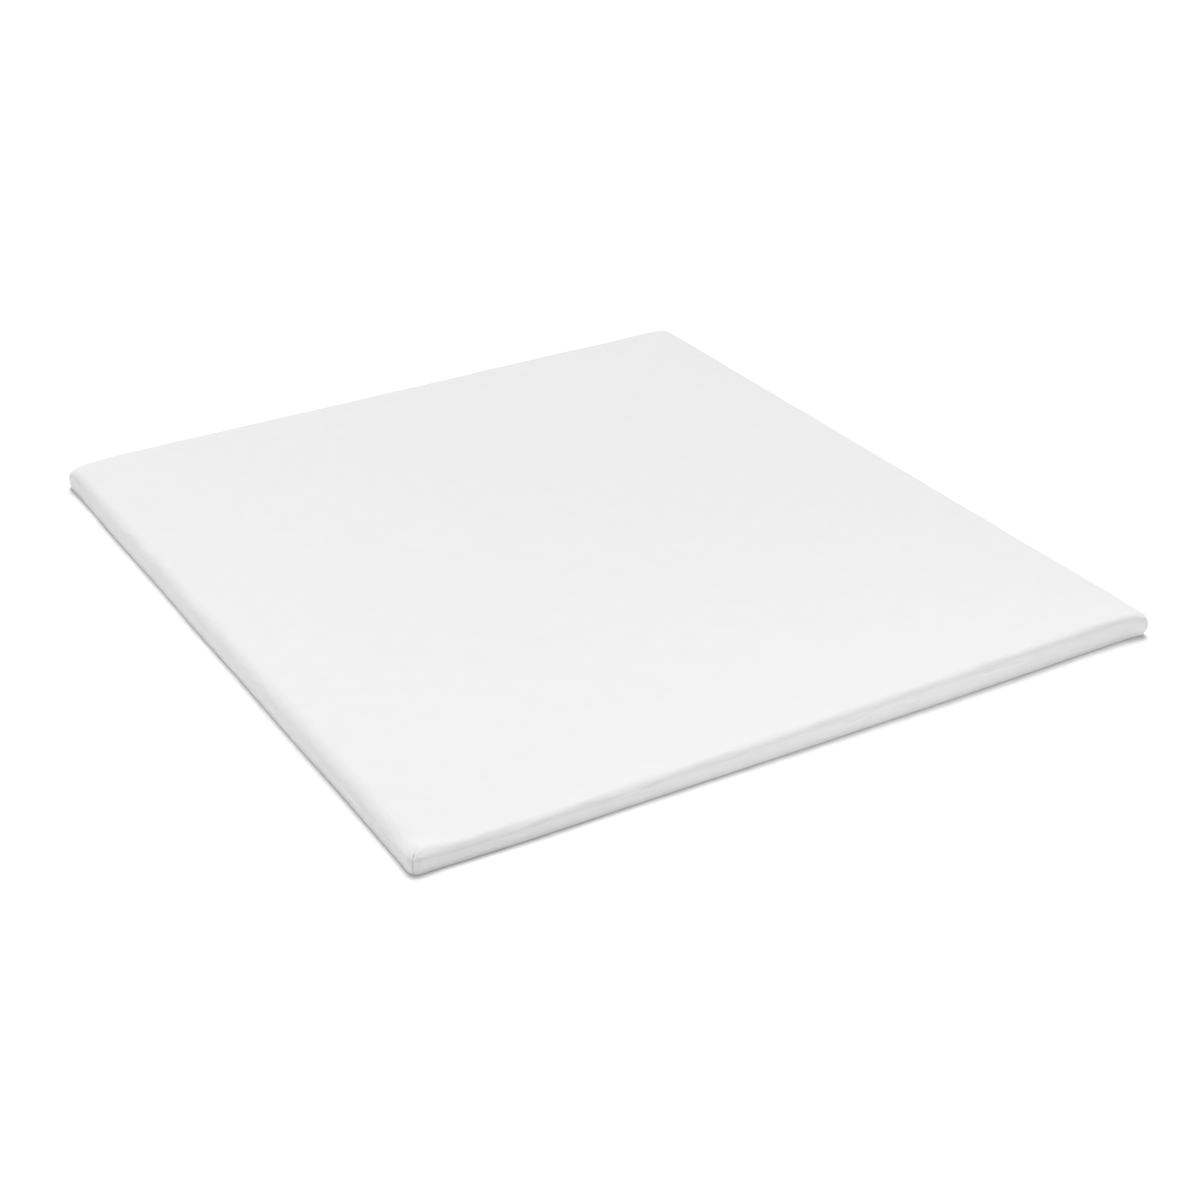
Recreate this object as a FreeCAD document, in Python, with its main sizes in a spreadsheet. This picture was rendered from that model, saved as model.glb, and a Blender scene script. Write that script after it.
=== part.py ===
import FreeCAD, Part
import math
import os

import Sketcher

# Thin memory foam mattress in a one-piece stretch cover, millimetres.
# X runs across the bed, +Y to the head end where the zip is, +Z up.
# The origin is the centre of the underside.

DRIVING_SIZES = [
    ("width", 1800.0, "overall size along X"),
    ("length", 2000.0, "overall size along Y, without the zip slider"),
    ("height", 60.0, "overall thickness"),
    ("corner_radius", 28.0, "plan radius of the cover's corners"),
    ("top_roll", 16.0, "radius of the cover's rounded top edge"),
    ("skin", 1.0, "thickness of the cover's jersey"),
    ("layer_gap", 0.3, "clearance between cover, liner and foam"),
    ("liner_skin", 0.5, "thickness of the inner liner's knit"),
    ("core_roll", 9.0, "radius of the liner's lower edge"),
    ("memory_height", 25.0, "thickness of the memory foam layer"),
    ("join_chamfer", 3.0, "bevel of both foam layers where they are bonded"),
    ("seam_size", 2.0, "thickness of an overlocked seam allowance"),
    ("liner_seam_depth", 1.2, "thickness of the liner's flatter seam allowance"),
    ("seam_gap", 0.15, "clearance round a seam allowance"),
    ("dart_room", 5.5, "extra plan radius that makes room for the corner darts"),
    ("dart_width", 3.0, "width of a corner dart's seam allowance"),
    ("dart_end_gap", 4.0, "distance from the dart's end to the start of the top roll"),
    ("zip_margin", 50.0, "distance from each side of the mattress to the zip's end"),
    ("zip_level", 18.0, "height of the zip's centre line above the base"),
    ("window_gap", 0.5, "clearance between the slider and the fabric edges"),
    ("tape_width", 12.0, "width of one zip tape"),
    ("tape_skin", 0.6, "thickness of the zip tape"),
    ("tape_tuck", 8.0, "length of tape hidden behind the cover at each end"),
    ("tape_inset", 0.4, "distance from a coil's inner side to the tape's edge"),
    ("coil_width", 2.3, "width of one coil, along Z"),
    ("coil_height", 2.4, "height of one coil, out from the tape"),
    ("coil_split", 1.6, "slot between the coils for the slider's divider"),
    ("stop_length", 3.0, "length of a zip stop along the chain"),
    ("stop_inset", 6.0, "distance from the chain's end to a stop"),
    ("stop_skin", 0.8, "wall of a zip stop"),
    ("stop_gap", 0.1, "clearance between a stop and the coils"),
    ("slider_length", 11.0, "length of the slider along the chain"),
    ("wing_skin", 1.1, "thickness of the slider's outer and inner wings"),
    ("flange_skin", 1.2, "thickness of the slider's side flanges"),
    ("divider_skin", 0.9, "thickness of the divider between the coils"),
    ("divider_length", 6.0, "length of the divider between the coils"),
    ("running_gap", 0.3, "clearance between the slider and the chain"),
    ("parking_gap", 0.5, "distance from the slider to the stop when closed"),
    ("bridge_length", 8.0, "length of the bridge that holds the pull tab"),
    ("bridge_post", 1.5, "length of one post of the bridge"),
    ("bridge_width", 2.0, "width of the bridge"),
    ("bridge_skin", 1.0, "thickness of the bridge's top bar"),
    ("pin_radius", 0.7, "radius of the pull tab's cross pin"),
    ("pin_gap", 0.4, "clearance between the cross pin and the bridge's top bar"),
    ("pin_rise", 1.7, "height of the cross pin's axis above the outer wing"),
    ("eye_gap", 0.4, "clearance between the pull tab's eye and the bridge's side"),
    ("eye_length", 5.4, "length of the eye in the pull tab"),
    ("eye_back", 1.1, "material of the pull tab behind the pin's axis"),
    ("tab_arm", 1.7, "width of each arm beside the pull tab's eye"),
    ("tab_skin", 1.3, "thickness of the pull tab"),
    ("tab_length", 28.0, "length of the pull tab from the pin's axis"),
    ("label_width", 36.0, "width of the care label"),
    ("label_height", 42.0, "height of the care label"),
    ("label_skin", 0.3, "thickness of the care label"),
    ("label_rise", 3.0, "height of the care label's lower edge"),
    ("label_inset", 150.0, "distance from the head end to the care label"),
    ("stitch_inset", 3.0, "distance from a fabric edge to its row of stitches"),
    ("stitch_width", 0.8, "width of a row of stitches"),
    ("stitch_rise", 0.4, "height of a row of stitches above the fabric"),
]

doc = FreeCAD.newDocument("memory_foam_mattress")
sheet = doc.addObject("Spreadsheet::Sheet", "dims")
for row, (alias, value, meaning) in enumerate(DRIVING_SIZES, start=1):
    sheet.set(f"A{row}", alias)
    sheet.set(f"B{row}", str(value))
    sheet.set(f"C{row}", meaning)
    sheet.setAlias(f"B{row}", alias)
doc.recompute()


def size(alias):
    """Return the number in the cell with this alias."""
    return float(sheet.get(alias))


def cell(alias):
    """Return the expression that reads this alias."""
    return f"dims.{alias}"


# Places worked out from the driving sizes, each written once as an expression.
REAR_FACE = "(dims.length / 2)"
REAR_INSIDE = "(dims.length / 2 - dims.skin)"
LINER_SIDE = "(dims.width / 2 - dims.skin - dims.layer_gap)"
LINER_FRONT = "(dims.length / 2 - dims.skin - dims.layer_gap)"
SLIDER_ROOM = "(dims.tape_skin + dims.running_gap + dims.wing_skin + dims.running_gap)"
LINER_REAR = f"({REAR_INSIDE} - {SLIDER_ROOM})"
LINER_BASE = "(dims.skin + dims.layer_gap)"
LINER_TOP = "(dims.height - dims.skin - dims.layer_gap)"
LINER_TOP_ROLL = "(dims.top_roll - dims.skin - dims.layer_gap)"
LINER_CORNER = "(dims.corner_radius - dims.skin - dims.layer_gap + dims.dart_room)"
CORE_STEP = "(dims.liner_skin + dims.layer_gap)"
CORE_BASE = f"({LINER_BASE} + {CORE_STEP})"
CORE_TOP = f"({LINER_TOP} - {CORE_STEP})"
JOIN_LEVEL = f"({CORE_TOP} - dims.memory_height)"
ZIP_LENGTH = "(dims.width - 2 * dims.zip_margin)"
COIL_OUTSIDE = "(dims.coil_split / 2 + dims.coil_width)"
FLANGE_INSIDE = f"({COIL_OUTSIDE} + dims.running_gap)"
SLIDER_HALF_WIDTH = f"({FLANGE_INSIDE} + dims.flange_skin)"
WINDOW_HALF = f"({SLIDER_HALF_WIDTH} + dims.window_gap)"
WINDOW_TOP = f"(dims.zip_level + {WINDOW_HALF})"
WINDOW_BASE = f"(dims.zip_level - {WINDOW_HALF})"
COIL_FACE = f"({REAR_INSIDE} + dims.coil_height)"
STOP_HALF_WIDTH = f"({COIL_OUTSIDE} + dims.stop_gap + dims.stop_skin)"
STOP_START = f"({ZIP_LENGTH} / 2 - dims.stop_inset)"
SLIDER_CENTRE = (
    f"(-{STOP_START} + dims.stop_length + dims.parking_gap + dims.slider_length / 2)"
)
OUTER_WING_BASE = f"({COIL_FACE} + dims.running_gap)"
OUTER_WING_TOP = f"({OUTER_WING_BASE} + dims.wing_skin)"
INNER_WING_TOP = f"({REAR_INSIDE} - dims.tape_skin - dims.running_gap)"
PIN_AXIS = f"({OUTER_WING_TOP} + dims.pin_rise)"
BRIDGE_ROOM = "(dims.pin_rise + dims.pin_radius + dims.pin_gap)"
EYE_HALF_WIDTH = "(dims.bridge_width / 2 + dims.eye_gap)"
TAB_HALF_WIDTH = f"({EYE_HALF_WIDTH} + dims.tab_arm)"

LEVEL_TOLERANCE = 1e-5
VOLUME_TOLERANCE = 1e-3


def origin_plane(body, role):
    """Return the body's own origin plane with this role."""
    return next(item for item in body.Origin.OriginFeatures if item.Role == role)


def edges_at(shape, level):
    """Return the names of the edges that lie wholly at this height."""
    names = []
    for number, edge in enumerate(shape.Edges, start=1):
        bounds = edge.BoundBox
        if max(abs(bounds.ZMin - level), abs(bounds.ZMax - level)) < LEVEL_TOLERANCE:
            names.append(f"Edge{number}")
    return names


def evaluate(expression):
    """Return the millimetres that an expression of the sheet comes to."""
    value = sheet.evalExpression(expression)
    return float(getattr(value, "Value", value))


def rounded_rectangle(body, name, across, front, rear, corner):
    """Draw a rounded rectangle on the body's XY plane.

    across is the half size along X; front and rear are the distances to the
    front and rear sides; corner is the plan radius. All are expressions.
    """
    half = evaluate(across)
    low = -evaluate(front)
    high = evaluate(rear)
    radius = evaluate(corner)
    sketch = body.newObject("Sketcher::SketchObject", name)
    sketch.AttachmentSupport = (origin_plane(body, "XY_Plane"), "")
    sketch.MapMode = "FlatFace"
    up = FreeCAD.Vector(0, 0, 1)
    corners = [
        (half - radius, low + radius, -90.0),
        (half - radius, high - radius, 0.0),
        (radius - half, high - radius, 90.0),
        (radius - half, low + radius, 180.0),
    ]
    for x, y, start in corners:
        circle = Part.Circle(FreeCAD.Vector(x, y, 0), up, radius)
        first = math.radians(start)
        sketch.addGeometry(Part.ArcOfCircle(circle, first, first + math.pi / 2))
    sides = [
        ((radius - half, low), (half - radius, low)),
        ((half, low + radius), (half, high - radius)),
        ((half - radius, high), (radius - half, high)),
        ((-half, high - radius), (-half, low + radius)),
    ]
    for start, end in sides:
        sketch.addGeometry(
            Part.LineSegment(FreeCAD.Vector(*start, 0), FreeCAD.Vector(*end, 0))
        )
    for arc in range(4):
        side_before = 4 + arc
        side_after = 4 + (arc + 1) % 4
        sketch.addConstraint(Sketcher.Constraint("Tangent", side_before, 2, arc, 1))
        sketch.addConstraint(Sketcher.Constraint("Tangent", arc, 2, side_after, 1))
    for arc in range(1, 4):
        sketch.addConstraint(Sketcher.Constraint("Equal", 0, arc))
    sketch.addConstraint(Sketcher.Constraint("Horizontal", 6))
    for side in (5, 7):
        sketch.addConstraint(Sketcher.Constraint("Vertical", side))
    sketch.addConstraint(Sketcher.Constraint("Symmetric", 4, 1, 4, 2, -2))
    driven = [
        ("corner", Sketcher.Constraint("Radius", 0, radius), corner),
        ("across", Sketcher.Constraint("DistanceX", -1, 1, 5, 1, half), across),
        ("front", Sketcher.Constraint("DistanceY", 4, 1, -1, 1, -low), front),
        ("rear", Sketcher.Constraint("DistanceY", -1, 1, 6, 1, high), rear),
    ]
    for label, constraint, expression in driven:
        index = sketch.addConstraint(constraint)
        sketch.renameConstraint(index, label)
        sketch.setExpression(f"Constraints.{label}", expression)
    doc.recompute()
    return sketch


def new_body(label):
    """Add an empty PartDesign body with this label."""
    body = doc.addObject("PartDesign::Body", label)
    body.Label = label
    return body


def pad(body, sketch, height, name="Pad"):
    """Pad a sketch upwards by an expression."""
    feature = body.newObject("PartDesign::Pad", name)
    feature.Profile = sketch
    feature.setExpression("Length", height)
    sketch.Visibility = False
    doc.recompute()
    return feature


def pocket_up(body, sketch, depth, name="Pocket"):
    """Cut a sketch upwards out of the body by an expression."""
    before = body.Shape.Volume
    feature = body.newObject("PartDesign::Pocket", name)
    feature.Profile = sketch
    feature.Reversed = True
    feature.setExpression("Length", depth)
    doc.recompute()
    if body.Shape.Volume > before - VOLUME_TOLERANCE:
        raise RuntimeError(f"{body.Label}: {name} removed nothing")
    return feature


def fillet(body, base, edges, radius, name):
    """Round the named edges of a feature by an expression."""
    feature = body.newObject("PartDesign::Fillet", name)
    feature.Base = (base, edges)
    feature.setExpression("Radius", radius)
    doc.recompute()
    return feature


def chamfer(body, base, edges, width, name):
    """Bevel the named edges of a feature by an expression."""
    feature = body.newObject("PartDesign::Chamfer", name)
    feature.Base = (base, edges)
    feature.setExpression("Size", width)
    doc.recompute()
    return feature


def box(label, low, spans):
    """Add a box from its low corner and its three spans, all expressions."""
    item = doc.addObject("Part::Box", label)
    item.Label = label
    for side, span in zip(("Length", "Width", "Height"), spans):
        item.setExpression(side, span)
    for axis, place in zip("xyz", low):
        item.setExpression(f"Placement.Base.{axis}", place)
    return item


def cylinder(label, centre, radius, height):
    """Add an upright cylinder from the centre of its lower end."""
    item = doc.addObject("Part::Cylinder", label)
    item.Label = label
    item.setExpression("Radius", radius)
    item.setExpression("Height", height)
    for axis, place in zip("xyz", centre):
        item.setExpression(f"Placement.Base.{axis}", place)
    return item


def fuse(label, pieces):
    """Join shapes that belong to one piece."""
    item = doc.addObject("Part::MultiFuse", label)
    item.Label = label
    item.Shapes = pieces
    item.Refine = True
    return item


def cut(label, base, tool):
    """Take one shape away from another."""
    item = doc.addObject("Part::Cut", label)
    item.Label = label
    item.Base = base
    item.Tool = tool
    return item


nodes = []


def keep(item):
    """List an object as one sub-part of the mattress."""
    nodes.append(item)
    return item


# ---------------------------------------------------------------- foam core

def foam_layer(label, base, height, rolled_level, roll, join_level):
    """Cut a foam layer with one rolled edge and one bevelled edge.

    rolled_level and join_level are the layer's own heights of the outer edge
    and of the edge at the bond; all are expressions.
    """
    body = new_body(label)
    outline = rounded_rectangle(
        body,
        "Outline",
        f"{LINER_SIDE} - {CORE_STEP}",
        f"{LINER_FRONT} - {CORE_STEP}",
        f"{LINER_REAR} - {CORE_STEP}",
        f"{LINER_CORNER} - {CORE_STEP}",
    )
    block = pad(body, outline, height)
    outer = edges_at(block.Shape, evaluate(rolled_level))
    rolled = fillet(body, block, outer, f"{roll} - {CORE_STEP}", "RolledEdge")
    bond = edges_at(rolled.Shape, evaluate(join_level))
    chamfer(body, rolled, bond, cell("join_chamfer"), "BondBevel")
    body.setExpression("Placement.Base.z", base)
    return keep(body)


SUPPORT_HEIGHT = f"({JOIN_LEVEL} - {CORE_BASE})"
foam_layer(
    "support_foam_layer", CORE_BASE, SUPPORT_HEIGHT, "0 mm", cell("core_roll"), SUPPORT_HEIGHT
)
foam_layer(
    "memory_foam_layer",
    JOIN_LEVEL,
    cell("memory_height"),
    cell("memory_height"),
    LINER_TOP_ROLL,
    "0 mm",
)


# -------------------------------------------------------------- inner liner

def liner_half(label, base, height, closed_at_top, roll):
    """Sew one half of the liner: a tray open towards the join level."""
    body = new_body(label)
    outline = rounded_rectangle(
        body, "Outline", LINER_SIDE, LINER_FRONT, LINER_REAR, LINER_CORNER
    )
    pad(body, outline, height)
    inside = rounded_rectangle(
        body,
        "Inside",
        f"{LINER_SIDE} - dims.liner_skin",
        f"{LINER_FRONT} - dims.liner_skin",
        f"{LINER_REAR} - dims.liner_skin",
        f"{LINER_CORNER} - dims.liner_skin",
    )
    skin = size("liner_skin")
    if closed_at_top:
        outer_level = evaluate(height)
        inner_level = outer_level - skin
    else:
        outer_level = 0.0
        inner_level = skin
        inside.setExpression("AttachmentOffset.Base.z", cell("liner_skin"))
    space = pocket_up(body, inside, f"{height} - dims.liner_skin", "Space")
    hollow = fillet(
        body,
        space,
        edges_at(space.Shape, inner_level),
        f"{roll} - dims.liner_skin",
        "InsideRoll",
    )
    fillet(body, hollow, edges_at(hollow.Shape, outer_level), roll, "OutsideRoll")
    body.setExpression("Placement.Base.z", base)
    return keep(body)


liner_half(
    "liner_top", JOIN_LEVEL, f"({LINER_TOP} - {JOIN_LEVEL})", True, LINER_TOP_ROLL
)
liner_half(
    "liner_bottom", LINER_BASE, f"({JOIN_LEVEL} - {LINER_BASE})", False, cell("core_roll")
)


def seam_ring(label, across, corner, front, rear, base, depth, height):
    """Run an overlocked seam allowance round the inside of a wall.

    across, front and rear are the distances from the centre to the ring's
    outer side along X, -Y and +Y; depth is its thickness inwards.
    """
    body = new_body(label)
    outline = rounded_rectangle(body, "Outline", across, front, rear, corner)
    pad(body, outline, height)
    inside = rounded_rectangle(
        body,
        "Inside",
        f"{across} - {depth}",
        f"{front} - {depth}",
        f"{rear} - {depth}",
        f"{corner} - {depth}",
    )
    pocket_up(body, inside, height, "Hollow")
    body.setExpression("Placement.Base.z", base)
    return body


LINER_SEAM_STEP = "(dims.liner_skin + dims.seam_gap)"
keep(
    seam_ring(
        "liner_seam",
        f"{LINER_SIDE} - {LINER_SEAM_STEP}",
        f"{LINER_CORNER} - {LINER_SEAM_STEP}",
        f"{LINER_FRONT} - {LINER_SEAM_STEP}",
        f"{LINER_REAR} - {LINER_SEAM_STEP}",
        f"{JOIN_LEVEL} - dims.seam_size / 2",
        cell("liner_seam_depth"),
        cell("seam_size"),
    )
)


# -------------------------------------------------------------------- cover

def cover_top():
    """Make the top and four sides of the cover, in one piece of jersey."""
    body = new_body("cover_top_shell")
    outline = rounded_rectangle(
        body,
        "Outline",
        "dims.width / 2",
        "dims.length / 2",
        "dims.length / 2",
        cell("corner_radius"),
    )
    pad(body, outline, "dims.height - dims.skin")
    inside = rounded_rectangle(
        body,
        "Inside",
        "dims.width / 2 - dims.skin",
        "dims.length / 2 - dims.skin",
        "dims.length / 2 - dims.skin",
        "dims.corner_radius - dims.skin",
    )
    space = pocket_up(body, inside, "dims.height - 2 * dims.skin", "Space")
    inner_top = evaluate("dims.height - 2 * dims.skin")
    hollow = fillet(
        body,
        space,
        edges_at(space.Shape, inner_top),
        "dims.top_roll - dims.skin",
        "InsideRoll",
    )
    outer_top = evaluate("dims.height - dims.skin")
    fillet(body, hollow, edges_at(hollow.Shape, outer_top), cell("top_roll"), "OutsideRoll")
    body.setExpression("Placement.Base.z", cell("skin"))
    window = box(
        "zip_window",
        (f"-{ZIP_LENGTH} / 2", f"{REAR_INSIDE} - dims.skin", "0 mm"),
        (ZIP_LENGTH, "3 * dims.skin", WINDOW_TOP),
    )
    return keep(cut("cover_top", body, window))


def cover_bottom():
    """Make the underside panel with the strip that turns up to the zip."""
    body = new_body("cover_bottom_panel")
    outline = rounded_rectangle(
        body,
        "Outline",
        "dims.width / 2",
        "dims.length / 2",
        "dims.length / 2",
        cell("corner_radius"),
    )
    pad(body, outline, cell("skin"))
    strip = box(
        "zip_strip",
        (f"-{ZIP_LENGTH} / 2", REAR_INSIDE, "0 mm"),
        (ZIP_LENGTH, cell("skin"), WINDOW_BASE),
    )
    return keep(fuse("cover_bottom", [body, strip]))


cover_top()
cover_bottom()

SEAM_SIDE = "(dims.width / 2 - dims.skin - dims.seam_gap)"
SEAM_END = "(dims.length / 2 - dims.skin - dims.seam_gap)"
SEAM_CORNER = "(dims.corner_radius - dims.skin - dims.seam_gap)"
SEAM_BASE = "(dims.skin + dims.seam_gap)"
bottom_ring = seam_ring(
    "bottom_seam_ring",
    SEAM_SIDE,
    SEAM_CORNER,
    SEAM_END,
    SEAM_END,
    SEAM_BASE,
    cell("seam_size"),
    cell("seam_size"),
)
zip_break = box(
    "zip_break",
    (f"-{ZIP_LENGTH} / 2", f"{SEAM_END} - 2 * dims.seam_size", "0 mm"),
    (ZIP_LENGTH, "4 * dims.seam_size", "dims.zip_level"),
)
keep(cut("bottom_seam", bottom_ring, zip_break))


def dart_seam(label, side, end):
    """Stand a dart's seam allowance inside one corner of the cover.

    side and end are +1 or -1 along X and Y. The bar's outer face is tangent to
    the inside of the corner, half way round its quarter circle.
    """
    item = doc.addObject("Part::Box", label)
    item.Label = label
    item.setExpression("Length", cell("seam_size"))
    item.setExpression("Width", cell("dart_width"))
    low = f"({SEAM_BASE} + dims.seam_size + dims.seam_gap)"
    item.setExpression("Height", f"dims.height - dims.top_roll - dims.dart_end_gap - {low}")
    turn = {(1, 1): 45, (-1, 1): 135, (-1, -1): 225, (1, -1): 315}[(side, end)]
    item.Placement.Rotation = FreeCAD.Rotation(FreeCAD.Vector(0, 0, 1), turn)
    reach = "(dims.corner_radius - dims.skin - dims.seam_gap - dims.seam_size)"
    for axis, half, sign, along, over in (
        ("x", "dims.width / 2", side, f"cos({turn} deg)", f"sin({turn} deg)"),
        ("y", "dims.length / 2", end, f"sin({turn} deg)", f"-cos({turn} deg)"),
    ):
        item.setExpression(
            f"Placement.Base.{axis}",
            f"{sign} * ({half} - dims.corner_radius) + {reach} * {along}"
            f" + dims.dart_width / 2 * {over}",
        )
    item.setExpression("Placement.Base.z", low)
    return keep(item)


for end_name, end in (("front", -1), ("rear", 1)):
    for side_name, side in (("left", -1), ("right", 1)):
        dart_seam(f"dart_seam_{end_name}_{side_name}", side, end)


# ---------------------------------------------------------------------- zip

TAPE_EDGE = "(dims.coil_split / 2 + dims.tape_inset)"
TAPE_START = f"(-{ZIP_LENGTH} / 2 - dims.tape_tuck)"
TAPE_LENGTH = f"({ZIP_LENGTH} + 2 * dims.tape_tuck)"
TAPE_BACK = f"({REAR_INSIDE} - dims.tape_skin)"
keep(
    box(
        "zip_tape_upper",
        (TAPE_START, TAPE_BACK, f"dims.zip_level + {TAPE_EDGE}"),
        (TAPE_LENGTH, cell("tape_skin"), cell("tape_width")),
    )
)
keep(
    box(
        "zip_tape_lower",
        (TAPE_START, TAPE_BACK, f"dims.zip_level - {TAPE_EDGE} - dims.tape_width"),
        (TAPE_LENGTH, cell("tape_skin"), cell("tape_width")),
    )
)
keep(
    box(
        "zip_coil_upper",
        (f"-{ZIP_LENGTH} / 2", REAR_INSIDE, "dims.zip_level + dims.coil_split / 2"),
        (ZIP_LENGTH, cell("coil_height"), cell("coil_width")),
    )
)
keep(
    box(
        "zip_coil_lower",
        (f"-{ZIP_LENGTH} / 2", REAR_INSIDE, f"dims.zip_level - {COIL_OUTSIDE}"),
        (ZIP_LENGTH, cell("coil_height"), cell("coil_width")),
    )
)


def zip_stop(label, start):
    """Clamp a staple-shaped stop over both coils, from this place along X."""
    cap = box(
        f"{label}_cap",
        (start, f"{COIL_FACE} + dims.stop_gap", f"dims.zip_level - {STOP_HALF_WIDTH}"),
        (cell("stop_length"), cell("stop_skin"), f"2 * {STOP_HALF_WIDTH}"),
    )
    leg_span = (cell("stop_length"), "dims.coil_height + dims.stop_gap", cell("stop_skin"))
    upper_leg = box(
        f"{label}_upper_leg",
        (start, REAR_INSIDE, f"dims.zip_level + {STOP_HALF_WIDTH} - dims.stop_skin"),
        leg_span,
    )
    lower_leg = box(
        f"{label}_lower_leg",
        (start, REAR_INSIDE, f"dims.zip_level - {STOP_HALF_WIDTH}"),
        leg_span,
    )
    return keep(fuse(label, [cap, upper_leg, lower_leg]))


zip_stop("zip_stop_closed_end", f"-{STOP_START}")
zip_stop("zip_stop_open_end", f"{STOP_START} - dims.stop_length")


def stitch_row(label, level):
    """Lay a row of lockstitch on the rear face at this height."""
    return keep(
        box(
            label,
            (f"-{ZIP_LENGTH} / 2", REAR_FACE, f"{level} - dims.stitch_width / 2"),
            (ZIP_LENGTH, cell("stitch_rise"), cell("stitch_width")),
        )
    )


stitch_row("zip_stitch_upper", f"({WINDOW_TOP} + dims.stitch_inset)")
stitch_row("zip_stitch_lower", f"({WINDOW_BASE} - dims.stitch_inset)")


def zip_slider():
    """Make the slider: two wings, side flanges, divider and bridge."""
    start = f"{SLIDER_CENTRE} - dims.slider_length / 2"
    wing_low = f"dims.zip_level - {SLIDER_HALF_WIDTH}"
    wing_spans = (cell("slider_length"), cell("wing_skin"), f"2 * {SLIDER_HALF_WIDTH}")
    outer_wing = box("slider_outer_wing", (start, OUTER_WING_BASE, wing_low), wing_spans)
    inner_wing = box(
        "slider_inner_wing",
        (start, f"{INNER_WING_TOP} - dims.wing_skin", wing_low),
        wing_spans,
    )
    flange_spans = (
        cell("slider_length"),
        "dims.coil_height + dims.wing_skin",
        cell("flange_skin"),
    )
    flange_base = f"{REAR_INSIDE} + dims.running_gap"
    upper_flange = box(
        "slider_upper_flange",
        (start, flange_base, f"dims.zip_level + {FLANGE_INSIDE}"),
        flange_spans,
    )
    lower_flange = box(
        "slider_lower_flange", (start, flange_base, wing_low), flange_spans
    )
    divider = box(
        "slider_divider",
        (
            f"{SLIDER_CENTRE} - dims.divider_length / 2",
            INNER_WING_TOP,
            "dims.zip_level - dims.divider_skin / 2",
        ),
        (
            cell("divider_length"),
            f"{OUTER_WING_BASE} - {INNER_WING_TOP}",
            cell("divider_skin"),
        ),
    )
    bridge = box(
        "slider_bridge_block",
        (
            f"{SLIDER_CENTRE} - dims.bridge_length / 2",
            OUTER_WING_TOP,
            "dims.zip_level - dims.bridge_width / 2",
        ),
        (
            cell("bridge_length"),
            f"{BRIDGE_ROOM} + dims.bridge_skin",
            cell("bridge_width"),
        ),
    )
    eye = box(
        "slider_bridge_eye",
        (
            f"{SLIDER_CENTRE} - dims.bridge_length / 2 + dims.bridge_post",
            OUTER_WING_TOP,
            "dims.zip_level - dims.bridge_width",
        ),
        (
            "dims.bridge_length - 2 * dims.bridge_post",
            BRIDGE_ROOM,
            "2 * dims.bridge_width",
        ),
    )
    bridge_loop = cut("slider_bridge", bridge, eye)
    return keep(
        fuse(
            "zip_slider",
            [outer_wing, inner_wing, upper_flange, lower_flange, divider, bridge_loop],
        )
    )


def pull_tab():
    """Make the pull tab: a plate with an eye and a cross pin under the bridge."""
    plate = box(
        "tab_plate",
        (
            f"{SLIDER_CENTRE} - dims.eye_back",
            f"{PIN_AXIS} - dims.tab_skin / 2",
            f"dims.zip_level - {TAB_HALF_WIDTH}",
        ),
        (
            "dims.tab_length + dims.eye_back",
            cell("tab_skin"),
            f"2 * {TAB_HALF_WIDTH}",
        ),
    )
    eye = box(
        "tab_eye",
        (
            f"{SLIDER_CENTRE} - 2 * dims.eye_back",
            f"{PIN_AXIS} - dims.tab_skin",
            f"dims.zip_level - {EYE_HALF_WIDTH}",
        ),
        (
            "dims.eye_length + 2 * dims.eye_back",
            "2 * dims.tab_skin",
            f"2 * {EYE_HALF_WIDTH}",
        ),
    )
    fork = cut("tab_fork", plate, eye)
    pin = cylinder(
        "tab_pin",
        (SLIDER_CENTRE, PIN_AXIS, f"dims.zip_level - {TAB_HALF_WIDTH} + dims.tab_arm / 2"),
        cell("pin_radius"),
        f"2 * {TAB_HALF_WIDTH} - dims.tab_arm",
    )
    return keep(fuse("zip_pull_tab", [fork, pin]))


zip_slider()
pull_tab()

keep(
    box(
        "care_label",
        (
            "dims.width / 2",
            "dims.length / 2 - dims.label_inset - dims.label_width",
            cell("label_rise"),
        ),
        (cell("label_skin"), cell("label_width"), cell("label_height")),
    )
)

# ----------------------------------------------------------- check and write

doc.recompute()
for item in doc.Objects:
    faults = [state for state in item.State if state in ("Invalid", "Error")]
    if faults:
        raise RuntimeError(f"{item.Label}: {faults}")
for item in nodes:
    if item.Shape.isNull() or not item.Shape.isValid():
        raise RuntimeError(f"{item.Label}: the shape is null or not valid")

os.makedirs("parts", exist_ok=True)
for item in nodes:
    item.Shape.exportStep(os.path.join("parts", f"{item.Label}.step"))
    bounds = item.Shape.BoundBox
    print(
        f"{item.Label:22s} {item.Shape.Volume / 1000.0:12.2f} cm3"
        f"  x {bounds.XMin:8.2f} {bounds.XMax:8.2f}"
        f"  y {bounds.YMin:8.2f} {bounds.YMax:8.2f}"
        f"  z {bounds.ZMin:6.2f} {bounds.ZMax:6.2f}"
    )
print(f"{len(nodes)} sub-parts; slider centre {evaluate(SLIDER_CENTRE):.3f}")
print(f"slider travel {2 * evaluate(STOP_START) - 2 * size('stop_length'):.3f} between stops")
print(f"pin axis y {evaluate(PIN_AXIS):.3f}")
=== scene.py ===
"""A thin memory foam mattress in a white stretch cover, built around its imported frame.

Every length is in metres. +X runs across the bed, +Y to the head end with the zip, +Z up.
"""

import sys
import logging
import math
from dataclasses import dataclass
from enum import Enum
from functools import cached_property

import bpy
import numpy as np
from mathutils import Matrix, Vector


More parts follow.
